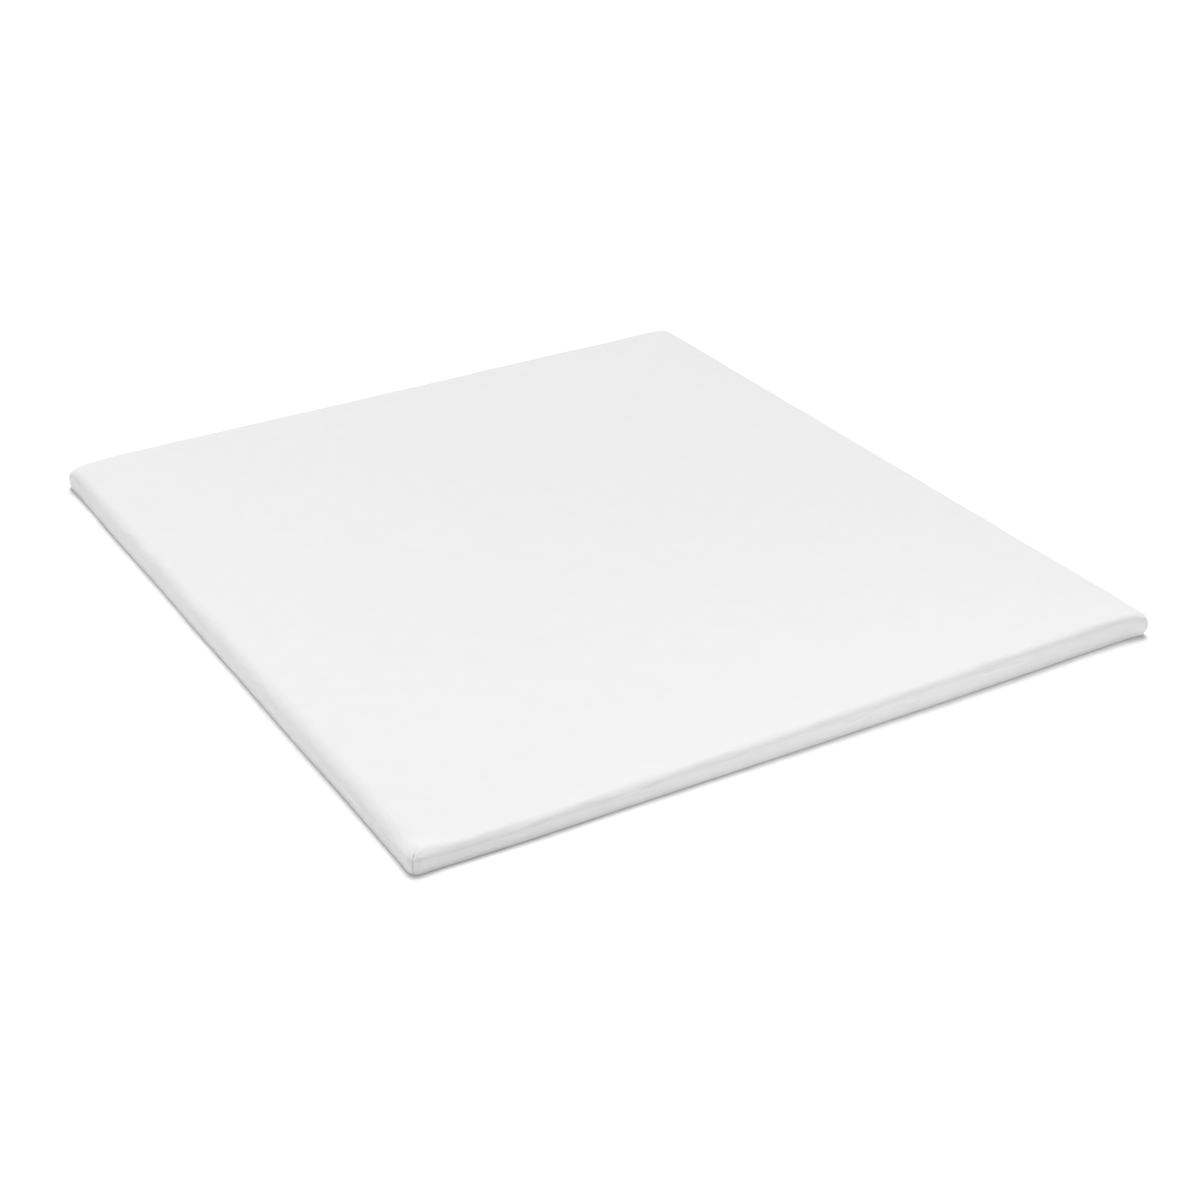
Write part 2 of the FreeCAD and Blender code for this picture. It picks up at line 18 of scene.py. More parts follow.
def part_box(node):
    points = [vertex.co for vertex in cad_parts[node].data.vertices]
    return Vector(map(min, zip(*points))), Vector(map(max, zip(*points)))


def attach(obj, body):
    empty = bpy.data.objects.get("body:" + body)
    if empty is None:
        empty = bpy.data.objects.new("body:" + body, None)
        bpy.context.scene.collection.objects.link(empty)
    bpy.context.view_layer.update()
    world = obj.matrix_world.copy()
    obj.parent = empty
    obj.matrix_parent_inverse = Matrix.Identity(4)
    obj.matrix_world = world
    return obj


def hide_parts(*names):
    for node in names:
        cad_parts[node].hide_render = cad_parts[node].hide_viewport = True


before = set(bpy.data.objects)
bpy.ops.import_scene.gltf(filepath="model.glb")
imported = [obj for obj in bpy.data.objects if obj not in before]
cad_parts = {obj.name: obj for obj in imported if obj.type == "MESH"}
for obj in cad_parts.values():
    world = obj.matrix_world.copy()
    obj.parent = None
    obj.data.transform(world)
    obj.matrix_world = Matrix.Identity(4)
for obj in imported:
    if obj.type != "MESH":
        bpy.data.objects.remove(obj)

LOG = logging.getLogger("mattress")
MM = 0.001
PER_METRE = 1000.0
TAU = 2 * math.pi
QUARTER = math.pi / 2


# ------------------------------------------------------------------ arithmetic

def ease(low: float, high: float, value: np.ndarray) -> np.ndarray:
    """Ease from 0 at low to 1 at high: 3t^2 - 2t^3 of the clamped fraction t.

    Args:
        low: Where the step starts.
        high: Where the step ends; it may lie below low.
        value: The places to look at.

    Returns:
        The eased fraction at each place.
    """
    t = np.clip((value - low) / (high - low), 0.0, 1.0)
    return t * t * (3 - 2 * t)


def bell(value: np.ndarray, width: float) -> np.ndarray:
    """Give a bell of height 1: e to the minus square of value over width.

    Args:
        value: Distance from the bell's middle.
        width: Distance at which it has fallen to 37%.

    Returns:
        The bell's height at each value.
    """
    return np.exp(-((value / width) ** 2))


def shares(low: float, high: float, steps: int, crowds: list[tuple[float, ...]]) -> np.ndarray:
    """Divide a span so that every step holds the same share of a density.

    The density is 1 plus, for each crowd, a bell of its own middle, width and weight.

    Args:
        low: Where the span starts.
        high: Where it ends.
        steps: How many steps it is divided into.
        crowds: (middle, width, weight) of each place where steps are short.

    Returns:
        The steps + 1 ends of the steps.
    """
    fine = np.linspace(low, high, 6001)
    density = np.ones_like(fine)
    for middle, width, weight in crowds:
        density += weight * bell(fine - middle, width)
    total = np.concatenate(([0.0], np.cumsum(density[1:] + density[:-1])))
    return np.interp(np.linspace(0, total[-1], steps + 1), total, fine)


@dataclass(frozen=True)
class Ripple:
    """A soft random wave field: a seeded sum of sin(2 pi (u / a +- v / b) + phase)."""

    height: float
    along: tuple[float, float]
    across: tuple[float, float]
    seed: int
    waves: int = 7

    def at(self, u: np.ndarray, v: np.ndarray) -> np.ndarray:
        """Give the field's height, which is mostly within plus or minus height.

        Args:
            u: First coordinate of each place; its wavelengths lie in the range along.
            v: Second coordinate of each place; its wavelengths lie in the range across.

        Returns:
            The height at each place.
        """
        rng = np.random.default_rng(self.seed)
        share = rng.random((2, self.waves))
        a = self.along[0] * (self.along[1] / self.along[0]) ** share[0]
        b = self.across[0] * (self.across[1] / self.across[0]) ** share[1]
        b *= rng.choice((-1.0, 1.0), self.waves)
        phase = rng.random(self.waves) * TAU
        total = np.zeros(np.broadcast(u, v).shape)
        for wave in range(self.waves):
            total = total + np.sin(TAU * (u / a[wave] + v / b[wave]) + phase[wave])
        return total * self.height / math.sqrt(self.waves)


# ---------------------------------------------------------------------- meshes

@dataclass
class Shell:
    """Points and faces of one mesh, with the cloth's flat coordinates if it has them."""

    points: np.ndarray
    faces: list[np.ndarray]
    pattern: np.ndarray | None = None

    def joined(self, *others: "Shell") -> "Shell":
        """Give this shell and others as one mesh of several shells.

        Args:
            others: The other shells.

        Returns:
            All of them, without their patterns.
        """
        points, faces, first = [self.points], list(self.faces), len(self.points)
        for other in others:
            points.append(other.points)
            faces += [part + first for part in other.faces]
            first += len(other.points)
        return Shell(np.concatenate(points), faces)

    def repeated(self, offsets: np.ndarray) -> "Shell":
        """Give copies of the shell as one mesh.

        Args:
            offsets: How far each copy is moved, (n, 3).

        Returns:
            The copies.
        """
        count = len(self.points)
        points = (self.points[None] + offsets[:, None]).reshape(-1, 3)
        first = np.arange(len(offsets)) * count
        faces = [
            (part[None] + first[:, None, None]).reshape(-1, part.shape[1])
            for part in self.faces
        ]
        return Shell(points, faces)

    def made(self, name: str) -> bpy.types.Object:
        """Make a smooth-shaded object at the origin.

        Args:
            name: The piece's name.

        Returns:
            The new object, linked to the scene.
        """
        mesh = bpy.data.meshes.new(name)
        loops = np.concatenate([part.ravel() for part in self.faces]).astype(np.int32)
        sizes = np.concatenate([np.full(len(part), part.shape[1]) for part in self.faces])
        starts = np.concatenate(([0], np.cumsum(sizes)[:-1])).astype(np.int32)
        mesh.vertices.add(len(self.points))
        mesh.vertices.foreach_set("co", self.points.astype(np.float32).ravel())
        mesh.loops.add(len(loops))
        mesh.loops.foreach_set("vertex_index", loops)
        mesh.polygons.add(len(sizes))
        mesh.polygons.foreach_set("loop_start", starts)
        mesh.update(calc_edges=True)
        mesh.polygons.foreach_set("use_smooth", np.ones(len(sizes), bool))
        if self.pattern is not None:
            layer = mesh.uv_layers.new(name="Pattern")
            layer.data.foreach_set("uv", self.pattern[loops].astype(np.float32).ravel())
        mesh.validate()
        item = bpy.data.objects.new(name, mesh)
        bpy.context.scene.collection.objects.link(item)
        return item


def grid_faces(rows: int, columns: int) -> np.ndarray:
    """Number the quads of a grid whose rows each join their own start.

    Args:
        rows: Number of rows of vertices.
        columns: Number of vertices in a row.

    Returns:
        Vertex numbers, (m, 4). The direction along a row crossed with the direction
        from row to row points out of the face.
    """
    row = np.arange(rows - 1)[:, None] * columns
    column = np.arange(columns)[None, :]
    after = (column + 1) % columns
    far = row + columns
    quads = np.stack((row + column, row + after, far + after, far + column), axis=-1)
    return quads.reshape(-1, 4)


def cells(number: np.ndarray) -> np.ndarray:
    """List the quads between the numbered points of an open grid, (m, 4)."""
    quads = (number[:-1, :-1], number[1:, :-1], number[1:, 1:], number[:-1, 1:])
    return np.stack(quads, axis=-1).reshape(-1, 4)


def ends(rows: int, columns: int) -> list[np.ndarray]:
    """List the two faces that cap a tube of rows with this many columns."""
    ring = np.arange(columns)
    return [ring[None, ::-1], ring[None] + (rows - 1) * columns]


def unit(vectors: np.ndarray) -> np.ndarray:
    """Scale vectors along the last axis to length 1."""
    return vectors / np.maximum(np.linalg.norm(vectors, axis=-1, keepdims=True), 1e-12)


def tube(
    path: np.ndarray,
    width: float | np.ndarray,
    height: float | np.ndarray,
    sides: int,
    aside: tuple[float, float, float],
    closed: bool = False,
    square: float = 1.0,
) -> Shell:
    """Carry a rounded section along a path.

    A point of the section is path + side * width * cos(a) + up * height * sin(a), where
    side stands across both the path and the direction aside, and the cosine and sine
    are raised to the power square, which makes the section boxy below 1.

    Args:
        path: The points that the section follows, (n, 3).
        width: Half width of the section, a number or one for each point.
        height: Half height of the section.
        sides: Number of points round the section.
        aside: A direction that the path never runs along; it is the section's height.
        closed: Whether the path joins its own start.
        square: The power of the cosine and sine.

    Returns:
        The tube, capped at both ends unless it is closed.
    """
    if closed:
        run = unit(np.roll(path, -1, axis=0) - np.roll(path, 1, axis=0))
    else:
        run = unit(np.gradient(path, axis=0))
    side = unit(np.cross(np.array(aside, float), run))
    up = np.cross(run, side)
    angle = np.arange(sides) / sides * TAU
    cos = np.sign(np.cos(angle)) * np.abs(np.cos(angle)) ** square
    sin = np.sign(np.sin(angle)) * np.abs(np.sin(angle)) ** square
    half_width = np.broadcast_to(width, len(path))[:, None, None]
    half_height = np.broadcast_to(height, len(path))[:, None, None]
    points = (
        path[:, None]
        + side[:, None] * half_width * cos[None, :, None]
        + up[:, None] * half_height * sin[None, :, None]
    )
    count = len(path)
    faces = [grid_faces(count, sides)]
    if closed:
        last = (count - 1) * sides
        join = grid_faces(2, sides)
        faces.append(np.where(join >= sides, join - sides, join + last))
    else:
        faces += ends(count, sides)
    return Shell(points.reshape(-1, 3), faces)


def plate(
    outline: np.ndarray, steps: list[tuple[float, float]], axes: np.ndarray, centre: tuple[float, ...]
) -> Shell:
    """Stack an outline at several heights, each pulled in by its own distance.

    A point is centre + a * first axis + b * second axis + height * third axis, where a
    and b are the outline's point moved against the outline's own outward normal.

    Args:
        outline: Anticlockwise points (a, b), (n, 2).
        steps: (height, inset) of each layer, from the lowest to the highest.
        axes: Three unit vectors as rows; the first crossed with the second is the third.
        centre: Where the outline's origin lies.

    Returns:
        The closed plate.
    """
    run = unit(np.roll(outline, -1, axis=0) - np.roll(outline, 1, axis=0))
    outward = np.stack((run[:, 1], -run[:, 0]), axis=-1)
    height, inset = np.array(steps, float).T
    flat = outline[None] - outward[None] * inset[:, None, None]
    level = np.broadcast_to(height[:, None, None], flat.shape[:2] + (1,))
    local = np.concatenate((flat, level), axis=-1)
    points = local.reshape(-1, 3) @ axes + np.array(centre)
    count = len(outline)
    return Shell(points, [grid_faces(len(steps), count)] + ends(len(steps), count))


def oval(half_a: float, half_b: float, power: float, count: int, taper: float = 0.0) -> np.ndarray:
    """Draw a superellipse: (a cos^(2/power), b sin^(2/power)), narrowed along b.

    Args:
        half_a: Half size along the first axis.
        half_b: Half size along the second axis.
        power: 2 for an ellipse, more for squarer corners.
        count: Number of points.
        taper: Share of the width lost from the middle to the far end of b.

    Returns:
        Anticlockwise points, (count, 2).
    """
    angle = (np.arange(count) + 0.5) / count * TAU
    cos, sin = np.cos(angle), np.sin(angle)
    a = np.sign(cos) * np.abs(cos) ** (2 / power)
    b = np.sign(sin) * np.abs(sin) ** (2 / power)
    return np.stack((half_a * a * (1 - taper * b), half_b * b), axis=-1)


def rounded(low: float, high: float, edge: float) -> list[tuple[float, float]]:
    """Give a plate's layers for an edge rounded by a quarter circle on both faces.

    Args:
        low: Height of the lower face.
        high: Height of the upper face.
        edge: Radius of the quarter circles.

    Returns:
        (height, inset) of each layer: edge * (1 - sin a) in from the face, and
        edge * (1 - cos a) in from the outline.
    """
    turn = np.linspace(0, QUARTER, 4)
    below = [(low + edge * (1 - math.sin(a)), edge * (1 - math.cos(a))) for a in turn[::-1]]
    above = [(high - edge * (1 - math.sin(a)), edge * (1 - math.cos(a))) for a in turn]
    return below + above


# --------------------------------------------------------------------- outline

class Side(Enum):
    """The mattress's four sides, in the order that its outline runs round it."""

    FRONT = 0
    RIGHT = 1
    REAR = 2
    LEFT = 3


PATCH_STEP = 4


@dataclass(frozen=True)
class Outline:
    """Columns round a rounded rectangle, close together where the detail is.

    A column keeps a fraction of the straight parts' half sizes and an outward
    direction, so it can be placed on a rectangle of any size and any corner radius.
    """

    half_x: float
    half_y: float
    radius: float
    arc_steps: int
    side_steps: tuple[int, int]
    corner_crowd: float = 5.0
    zip_end: float = 0.0

    def _per_side(self, side: Side) -> dict[str, np.ndarray]:
        """Give one side's columns, from the middle of one corner to just before the next.

        Args:
            side: Which side.

        Returns:
            Each column's place as fractions of the straight part and of a sharp-cornered
            side, its direction, its side, and its distances from the side's two corners.
        """
        odd = side.value % 2
        half = (self.half_y if odd else self.half_x) - self.radius
        steps = self.side_steps[odd]
        arc = shares(0, 1, self.arc_steps, [(0.0, 0.35, self.corner_crowd)])
        crowds = [(-half, 0.10, 3.0), (half, 0.10, 3.0)]
        if side is Side.REAR and self.zip_end:
            crowds += [(-self.zip_end, 0.006, 9.0), (self.zip_end, 0.006, 9.0)]
        along = shares(-half, half, steps, crowds) / half
        facing = side.value * QUARTER - QUARTER
        turn = np.concatenate((arc[:-1] - 1, np.zeros(steps), 1 - arc[:0:-1]))
        fraction = np.concatenate(
            (np.full(self.arc_steps, -1.0), along[:-1], np.full(self.arc_steps, 1.0))
        )
        angle = facing + turn * math.pi / 4
        arc_length = self.radius * math.pi / 4
        from_start = (1 + np.minimum(turn, 0)) * arc_length
        from_start += (1 + fraction) * half + np.maximum(turn, 0) * arc_length
        count = len(turn)
        grade = shares(-1, 1, count, [(-1, 0.12, 3.0), (1, 0.12, 3.0)])[:-1]
        out_x, out_y = round(math.cos(facing)), round(math.sin(facing))
        return {
            "fx": out_x - fraction * out_y,
            "fy": out_y + fraction * out_x,
            "nx": np.cos(angle),
            "ny": np.sin(angle),
            "sharp_x": out_x - grade * out_y,
            "sharp_y": out_y + grade * out_x,
            "side": np.full(count, side.value),
            "from_start": from_start,
            "to_end": 2 * (half + arc_length) - from_start,
        }

    @cached_property
    def columns(self) -> dict[str, np.ndarray]:
        """Every column's fractions, direction, side and distance from its side's corners."""
        parts = [self._per_side(side) for side in Side]
        return {key: np.concatenate([part[key] for part in parts]) for key in parts[0]}

    @property
    def count(self) -> int:
        """The number of columns."""
        return len(self.columns["side"])

    @cached_property
    def corner(self) -> np.ndarray:
        """Each column's signed distance from the middle of its nearest corner."""
        start, end = self.columns["from_start"], self.columns["to_end"]
        return np.where(start <= end, start, -end)

    @cached_property
    def corner_number(self) -> np.ndarray:
        """Each column's nearest corner: 0 front left, 1 front right, 2 and 3 the rear's."""
        return (self.columns["side"] + (self.corner < 0)) % 4

    @cached_property
    def run(self) -> np.ndarray:
        """Each column's distance along the whole outline."""
        length = self.columns["from_start"] + self.columns["to_end"]
        sides = [length[self.columns["side"] == side.value][0] for side in Side]
        before = np.concatenate(([0.0], np.cumsum(sides)[:-1]))
        return before[self.columns["side"]] + self.columns["from_start"]

    def ripple(self, wave: Ripple, level: float | np.ndarray = 0.0) -> np.ndarray:
        """Run a ripple round the outline, faded out where its end meets its start.

        Args:
            wave: The ripple.
            level: Its second coordinate, broadcastable over the columns.

        Returns:
            The ripple's height, flat within 60 mm of the front left corner.
        """
        from_join = np.where(self.corner_number == 0, np.abs(self.corner), 1.0)
        return wave.at(self.run, level) * ease(0.0, 0.06, from_join)

    def by_side(self, values: tuple[float, ...], reach: float = 0.12) -> np.ndarray:
        """Spread one value for each side over the columns, eased from side to side.

        Args:
            values: The values of the front, right, rear and left side.
            reach: Distance from a corner over which a value changes to the next.

        Returns:
            One value for each column.
        """
        value = np.array(values, float)
        side = self.columns["side"]
        other = np.where(self.corner >= 0, value[side - 1], value[(side + 1) % 4])
        share = 0.5 * (1 - ease(0, reach, np.abs(self.corner)))
        return value[side] + (other - value[side]) * share

    def place(self, inset: np.ndarray, radius: np.ndarray) -> np.ndarray:
        """Place the columns on a rectangle that lies inset from the outline.

        A place is fraction * (half size - inset - radius) + direction * radius.

        Args:
            inset: Distance inwards from the outline, (rows, columns).
            radius: Plan radius of the corners, broadcastable to inset.

        Returns:
            Plan places, (rows, columns, 2).
        """
        at = self.columns
        x = at["fx"] * (self.half_x - inset - radius) + at["nx"] * radius
        y = at["fy"] * (self.half_y - inset - radius) + at["ny"] * radius
        return np.stack((x, y), axis=-1)

    def unrolled(self) -> tuple[np.ndarray, np.ndarray]:
        """Lay each side with its half corners out straight.

        Returns:
            The straight plan places and the outward directions, (columns, 2) each.
        """
        at = self.columns
        turn = at["side"] * QUARTER - QUARTER
        facing = np.stack((np.cos(turn), np.sin(turn)), axis=-1)
        tangent = np.stack((-np.sin(turn), np.cos(turn)), axis=-1)
        reach = np.where(at["side"] % 2, self.half_x, self.half_y)
        beside = (at["from_start"] - at["to_end"]) / 2
        return facing * reach[:, None] + tangent * beside[:, None], facing

    def sharp(self, inset: float) -> np.ndarray:
        """Place the columns on a sharp-cornered rectangle that lies inset, (columns, 2)."""
        x = (self.half_x - inset) * self.columns["sharp_x"]
        y = (self.half_y - inset) * self.columns["sharp_y"]
        return np.stack((x, y), axis=-1)

    def patch(self, ring: np.ndarray, first: int, own: int) -> tuple[np.ndarray, list[np.ndarray]]:
        """Fill a sharp-cornered ring of columns with a coarser grid of quads.

        Every fourth column starts a cell of the grid, and the columns between two of
        those are joined to the nearest point inside by triangles.

        Args:
            ring: Plan places of the ring, (columns, 2).
            first: Vertex number of the ring's first column.
            own: Vertex number that the patch's own first vertex gets.

        Returns:
            Plan places of the patch's own vertices, and its faces, which face up.
        """
        steps = 2 * self.arc_steps + np.array(self.side_steps)
        across, along = steps // PATCH_STEP
        x = ring[: steps[0] : PATCH_STEP, 0][1:]
        y = ring[steps[0] : steps[0] + steps[1] : PATCH_STEP, 1][1:]
        inner = np.stack(np.meshgrid(x, y, indexing="ij"), axis=-1).reshape(-1, 2)
        number = own + np.arange((across - 1) * (along - 1)).reshape(across - 1, along - 1)
        i = np.concatenate((
            np.arange(across) - 1,
            np.full(along, across),
            across - 1 - np.arange(across),
            np.full(along, -1),
        ))
        j = np.concatenate((
            np.full(across, -1),
            np.arange(along) - 1,
            np.full(across, along),
            along - 1 - np.arange(along),
        ))
        near = number[np.clip(i, 0, across - 2), np.clip(j, 0, along - 2)]
        following = np.roll(near, -1)
        total = len(ring)
        column = np.arange(total)
        cell, step = column // PATCH_STEP, column % PATCH_STEP
        apex = np.where(step < PATCH_STEP // 2, near[cell], following[cell])
        fans = np.stack((first + column, first + (column + 1) % total, apex), axis=-1)
        middle = first + np.arange(0, total, PATCH_STEP) + PATCH_STEP // 2
        bridges = np.stack((middle, following, near), axis=-1)[near != following]
        return inner, [cells(number), fans, bridges]


@dataclass
class Casing:
    """A surface made of rings round the outline, closed by a patch at either end.

    The rings are listed so that the direction along a ring crossed with the direction
    from ring to ring points outwards: from underneath, up the sides and in over the top.
    """

    outline: Outline
    inset: np.ndarray
    level: np.ndarray
    radius: np.ndarray
    sharpness: np.ndarray
    sharp_inset: float
    patch_start: bool = False
    patch_end: bool = False

    def shell(self) -> Shell:
        """Work out the surface, with the cloth's flat pattern.

        The pattern is the plan place, moved outwards along the column's direction by
        what the surface is longer than its plan. On the walls each side is unrolled
        straight instead, so that the pattern meets at the corners' darts.

        Returns:
            The rings with their patches.
        """
        plan = self.outline.place(self.inset, self.radius)
        share = self.sharpness[:, None, None]
        plan = plan + (self.outline.sharp(self.sharp_inset)[None] - plan) * share
        points = np.concatenate((plan, self.level[..., None]), axis=-1)
        columns = self.outline.columns
        outward = np.stack((columns["nx"], columns["ny"]), axis=-1)
        step = np.diff(points, axis=0)
        inward = -np.sum(step[..., :2] * outward, axis=-1)
        length = np.linalg.norm(step, axis=-1)
        none = np.zeros((1, self.outline.count))
        if self.patch_start:
            spare = np.concatenate((none, np.cumsum(length + inward, axis=0)))
        else:
            spare = np.concatenate((np.cumsum((length - inward)[::-1], axis=0)[::-1], none))
        wall = ease(0.014, 0.002, self.inset)[..., None]
        beside, facing = self.outline.unrolled()
        pattern = plan + (beside - plan) * wall
        pattern = pattern + (outward + (facing - outward) * wall) * spare[..., None]
        rows, count = self.level.shape
        faces = [grid_faces(rows, count)]
        all_points = [points.reshape(-1, 3)]
        patterns = [pattern.reshape(-1, 2)]
        own = rows * count
        for wanted, row, turned in ((self.patch_start, 0, True), (self.patch_end, rows - 1, False)):
            if wanted:
                inner, parts = self.outline.patch(plan[row], row * count, own)
                level = np.full((len(inner), 1), self.level[row].mean())
                all_points.append(np.concatenate((inner, level), axis=-1))
                patterns.append(inner)
                faces += [part[:, ::-1] if turned else part for part in parts]
                own += len(inner)
        return Shell(np.concatenate(all_points), faces, np.concatenate(patterns))


def ring_normals(points: np.ndarray) -> np.ndarray:
    """Give unit normals of rings of points from central differences.

    Args:
        points: The rings, (rows, columns, 3).

    Returns:
        The normal at each point, which points outwards.
    """
    along = np.roll(points, -1, axis=1) - np.roll(points, 1, axis=1)
    across = np.gradient(points, axis=0)
    return unit(np.cross(along, across))


# --------------------------------------------------------------- shared sizes

@dataclass(frozen=True)
class Bed:
    """The sizes that every piece shares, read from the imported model's own boxes."""

    half_x: float
    half_y: float
    height: float
    zip_level: float
    zip_half: float
    radius: float = 0.025
    bulges: tuple = ((-1, -1, 4.0 * MM), (1, -1, 19.0 * MM), (1, 1, 6.0 * MM), (-1, 1, 6.0 * MM))
    bulge_reach: float = 0.036
    bows: tuple = ((11.0 * MM, -0.99, 0.30), (-10.5 * MM, 0.50, 0.70))
    slump: float = 19.0 * MM
    slump_reach: float = 0.17
    side_slump: float = 3.0 * MM
    corner_sag: float = 2.4 * MM

    @classmethod
    def packed(cls) -> "Bed":
        """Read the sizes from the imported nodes.

        Returns:
            The bed's sizes.
        """
        _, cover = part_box("cover_top")
        upper, upper_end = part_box("zip_coil_upper")
        _, lower_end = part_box("zip_coil_lower")
        level = (upper[2] + lower_end[2]) / 2
        return cls(cover[0], cover[1], cover[2], level, upper_end[0])

    def outline(self, arc_steps: int, side_steps: tuple[int, int], zip_end: float = 0.0) -> Outline:
        """Give an outline of this bed with its own number of columns."""
        return Outline(self.half_x, self.half_y, self.radius, arc_steps, side_steps, zip_end=zip_end)

    def sway(self, outline: Outline) -> np.ndarray:
        """Give how far each column stands in from a straight side, as the cover pulls the foam.

        It is each side's own small offset plus a slow ripple of under a millimetre; the
        rear stays straight for the zip.

        Args:
            outline: The outline whose columns are wanted.

        Returns:
            The distance in at each column.
        """
        wave = outline.ripple(Ripple(0.8 * MM, (0.5, 1.4), (9.0, 10.0), seed=11, waves=4))
        plain = outline.by_side((0.0, -0.8 * MM, 0.0, 0.2 * MM), 0.2)
        gentle = outline.by_side((0.5, 0.7, 0.0, 1.0), 0.2)
        return plain + wave * gentle

    def settle(self, points: np.ndarray) -> None:
        """Warp points of any piece as the soft bed lies on the floor, in place.

        The front side bows out right of its middle and is drawn in at its left end; both
        are bells along it that ease away behind it. Each corner bulges along its diagonal
        by a bell round it, most at half height. Last, the front's upper edge sinks
        towards its left end, the left side's towards the front, and every corner a
        little, by a drop that fades inwards, times an eased share of the point's own
        height.

        Args:
            points: Points of the piece, (..., 3).
        """
        x, y, z = (points[..., axis].copy() for axis in range(3))
        front = ease(-0.72, -0.985, y)
        bow = sum(size * bell(x - middle, width) for size, middle, width in self.bows)
        points[..., 1] += bow * front
        waist = 0.12 + 0.88 * np.sqrt(np.sin(np.clip(z / self.height, 0, 1) * math.pi))
        for way_x, way_y, bulge in self.bulges:
            away = np.hypot(x - way_x * self.half_x, y - way_y * self.half_y)
            push = bulge * bell(away, self.bulge_reach) * waist * math.sqrt(0.5)
            points[..., 0] += way_x * push
            points[..., 1] += way_y * push
        inward = np.maximum(y + self.half_y, 0)
        beside = np.maximum(x + self.half_x, 0)
        drop = self.slump * ease(0.6, -0.75, x) * bell(inward, self.slump_reach)
        drop *= 1 - 0.72 * bell(np.hypot(inward, beside), 0.050)
        drop *= 1 - 0.35 * bell(beside, 0.060)
        side = self.side_slump * ease(0.9, -1.0, y) * bell(beside, 0.05)
        corner = np.hypot(self.half_x - np.abs(x), self.half_y - np.abs(y))
        sag = self.corner_sag * bell(corner, 0.055)
        points[..., 2] -= (drop + side + sag) * ease(0.012, 0.058, z)

    def beside(self, outline: Outline) -> np.ndarray:
        """Each column's distance along its side from the side's middle."""
        at = outline.columns
        return (at["from_start"] - at["to_end"]) / 2


@dataclass(frozen=True)
class Fold:
    """A slack fold of the cover: a ridge with a valley under it, along a short line."""

    side: Side
    start: tuple[float, float]
    end: tuple[float, float]
    rise: float
    width: float

    def relief(self, side: np.ndarray, along: np.ndarray, level: np.ndarray) -> np.ndarray:
        """Give the fold's height over the cloth.

        With d the distance square to the line, it is rise times (bell(d) less 0.7
        bell(d plus 1.9 widths)), and it fades out at both ends of the line.

        Args:
            side: Number of the side that each place lies on.
            along: Distance along the side from its middle.
            level: Height above the floor.

        Returns:
            The height at each place.
        """
        run, climb = self.end[0] - self.start[0], self.end[1] - self.start[1]
        length = math.hypot(run, climb)
        from_x, from_z = along - self.start[0], level - self.start[1]
        share = (from_x * run + from_z * climb) / length**2
        away = (from_z * run - from_x * climb) / length
        body = bell(away, self.width) - 0.7 * bell(away + 1.9 * self.width, self.width)
        fade = ease(0, 0.3, share) * ease(1, 0.6, share)
        return self.rise * body * fade * (side == self.side.value)


@dataclass(frozen=True)
class Dart:
    """A corner's sewn dart: a sharp crease up the corner that ends in a small pucker."""

    corner: int
    top: float = 0.043
    crease: float = 2.2 * MM
    hole: float = 3.0 * MM
    pucker: float = 1.3 * MM
    lean: float = 1.0

    def relief(self, corner: np.ndarray, number: np.ndarray, level: np.ndarray) -> np.ndarray:
        """Give the dart's height over the cloth.

        The crease is a narrow valley between two low ridges; the hole is a round bell;
        the pucker is a wave round the hole, cos(7 angle + 0.7), that dies away outwards
        and is stronger on the side that the cloth leans to, where a low lap lies too.

        Args:
            corner: Signed distance of each place from the nearest corner's middle.
            number: Number of that corner.
            level: Height above the floor.

        Returns:
            The height at each place.
        """
        here = number == self.corner
        sewn = ease(0.001, 0.004, level) * ease(self.top + 0.001, self.top - 0.003, level)
        valley = -self.crease * np.exp(-np.abs(corner) / (0.9 * MM))
        ridges = 0.4 * MM * bell(np.abs(corner) - 3.0 * MM, 1.8 * MM)
        lap = 0.5 * MM * ease(0.010, 0.0, np.abs(corner)) * ease(-0.0005, 0.0005, corner * self.lean)
        rise = level - self.top
        away = np.hypot(corner, rise)
        angle = np.arctan2(rise, corner)
        hole = -self.hole * bell(away, 1.9 * MM)
        wave = np.cos(7 * angle + 0.7) * np.exp(-away / 0.013) * ease(0.001, 0.006, away)
        favour = 0.45 + 0.55 * ease(-0.004, 0.008, corner * self.lean)
        return here * ((valley + ridges + lap) * sewn + hole + self.pucker * wave * favour)


# --------------------------------------------------------------------- finishes

Socket = bpy.types.NodeSocket


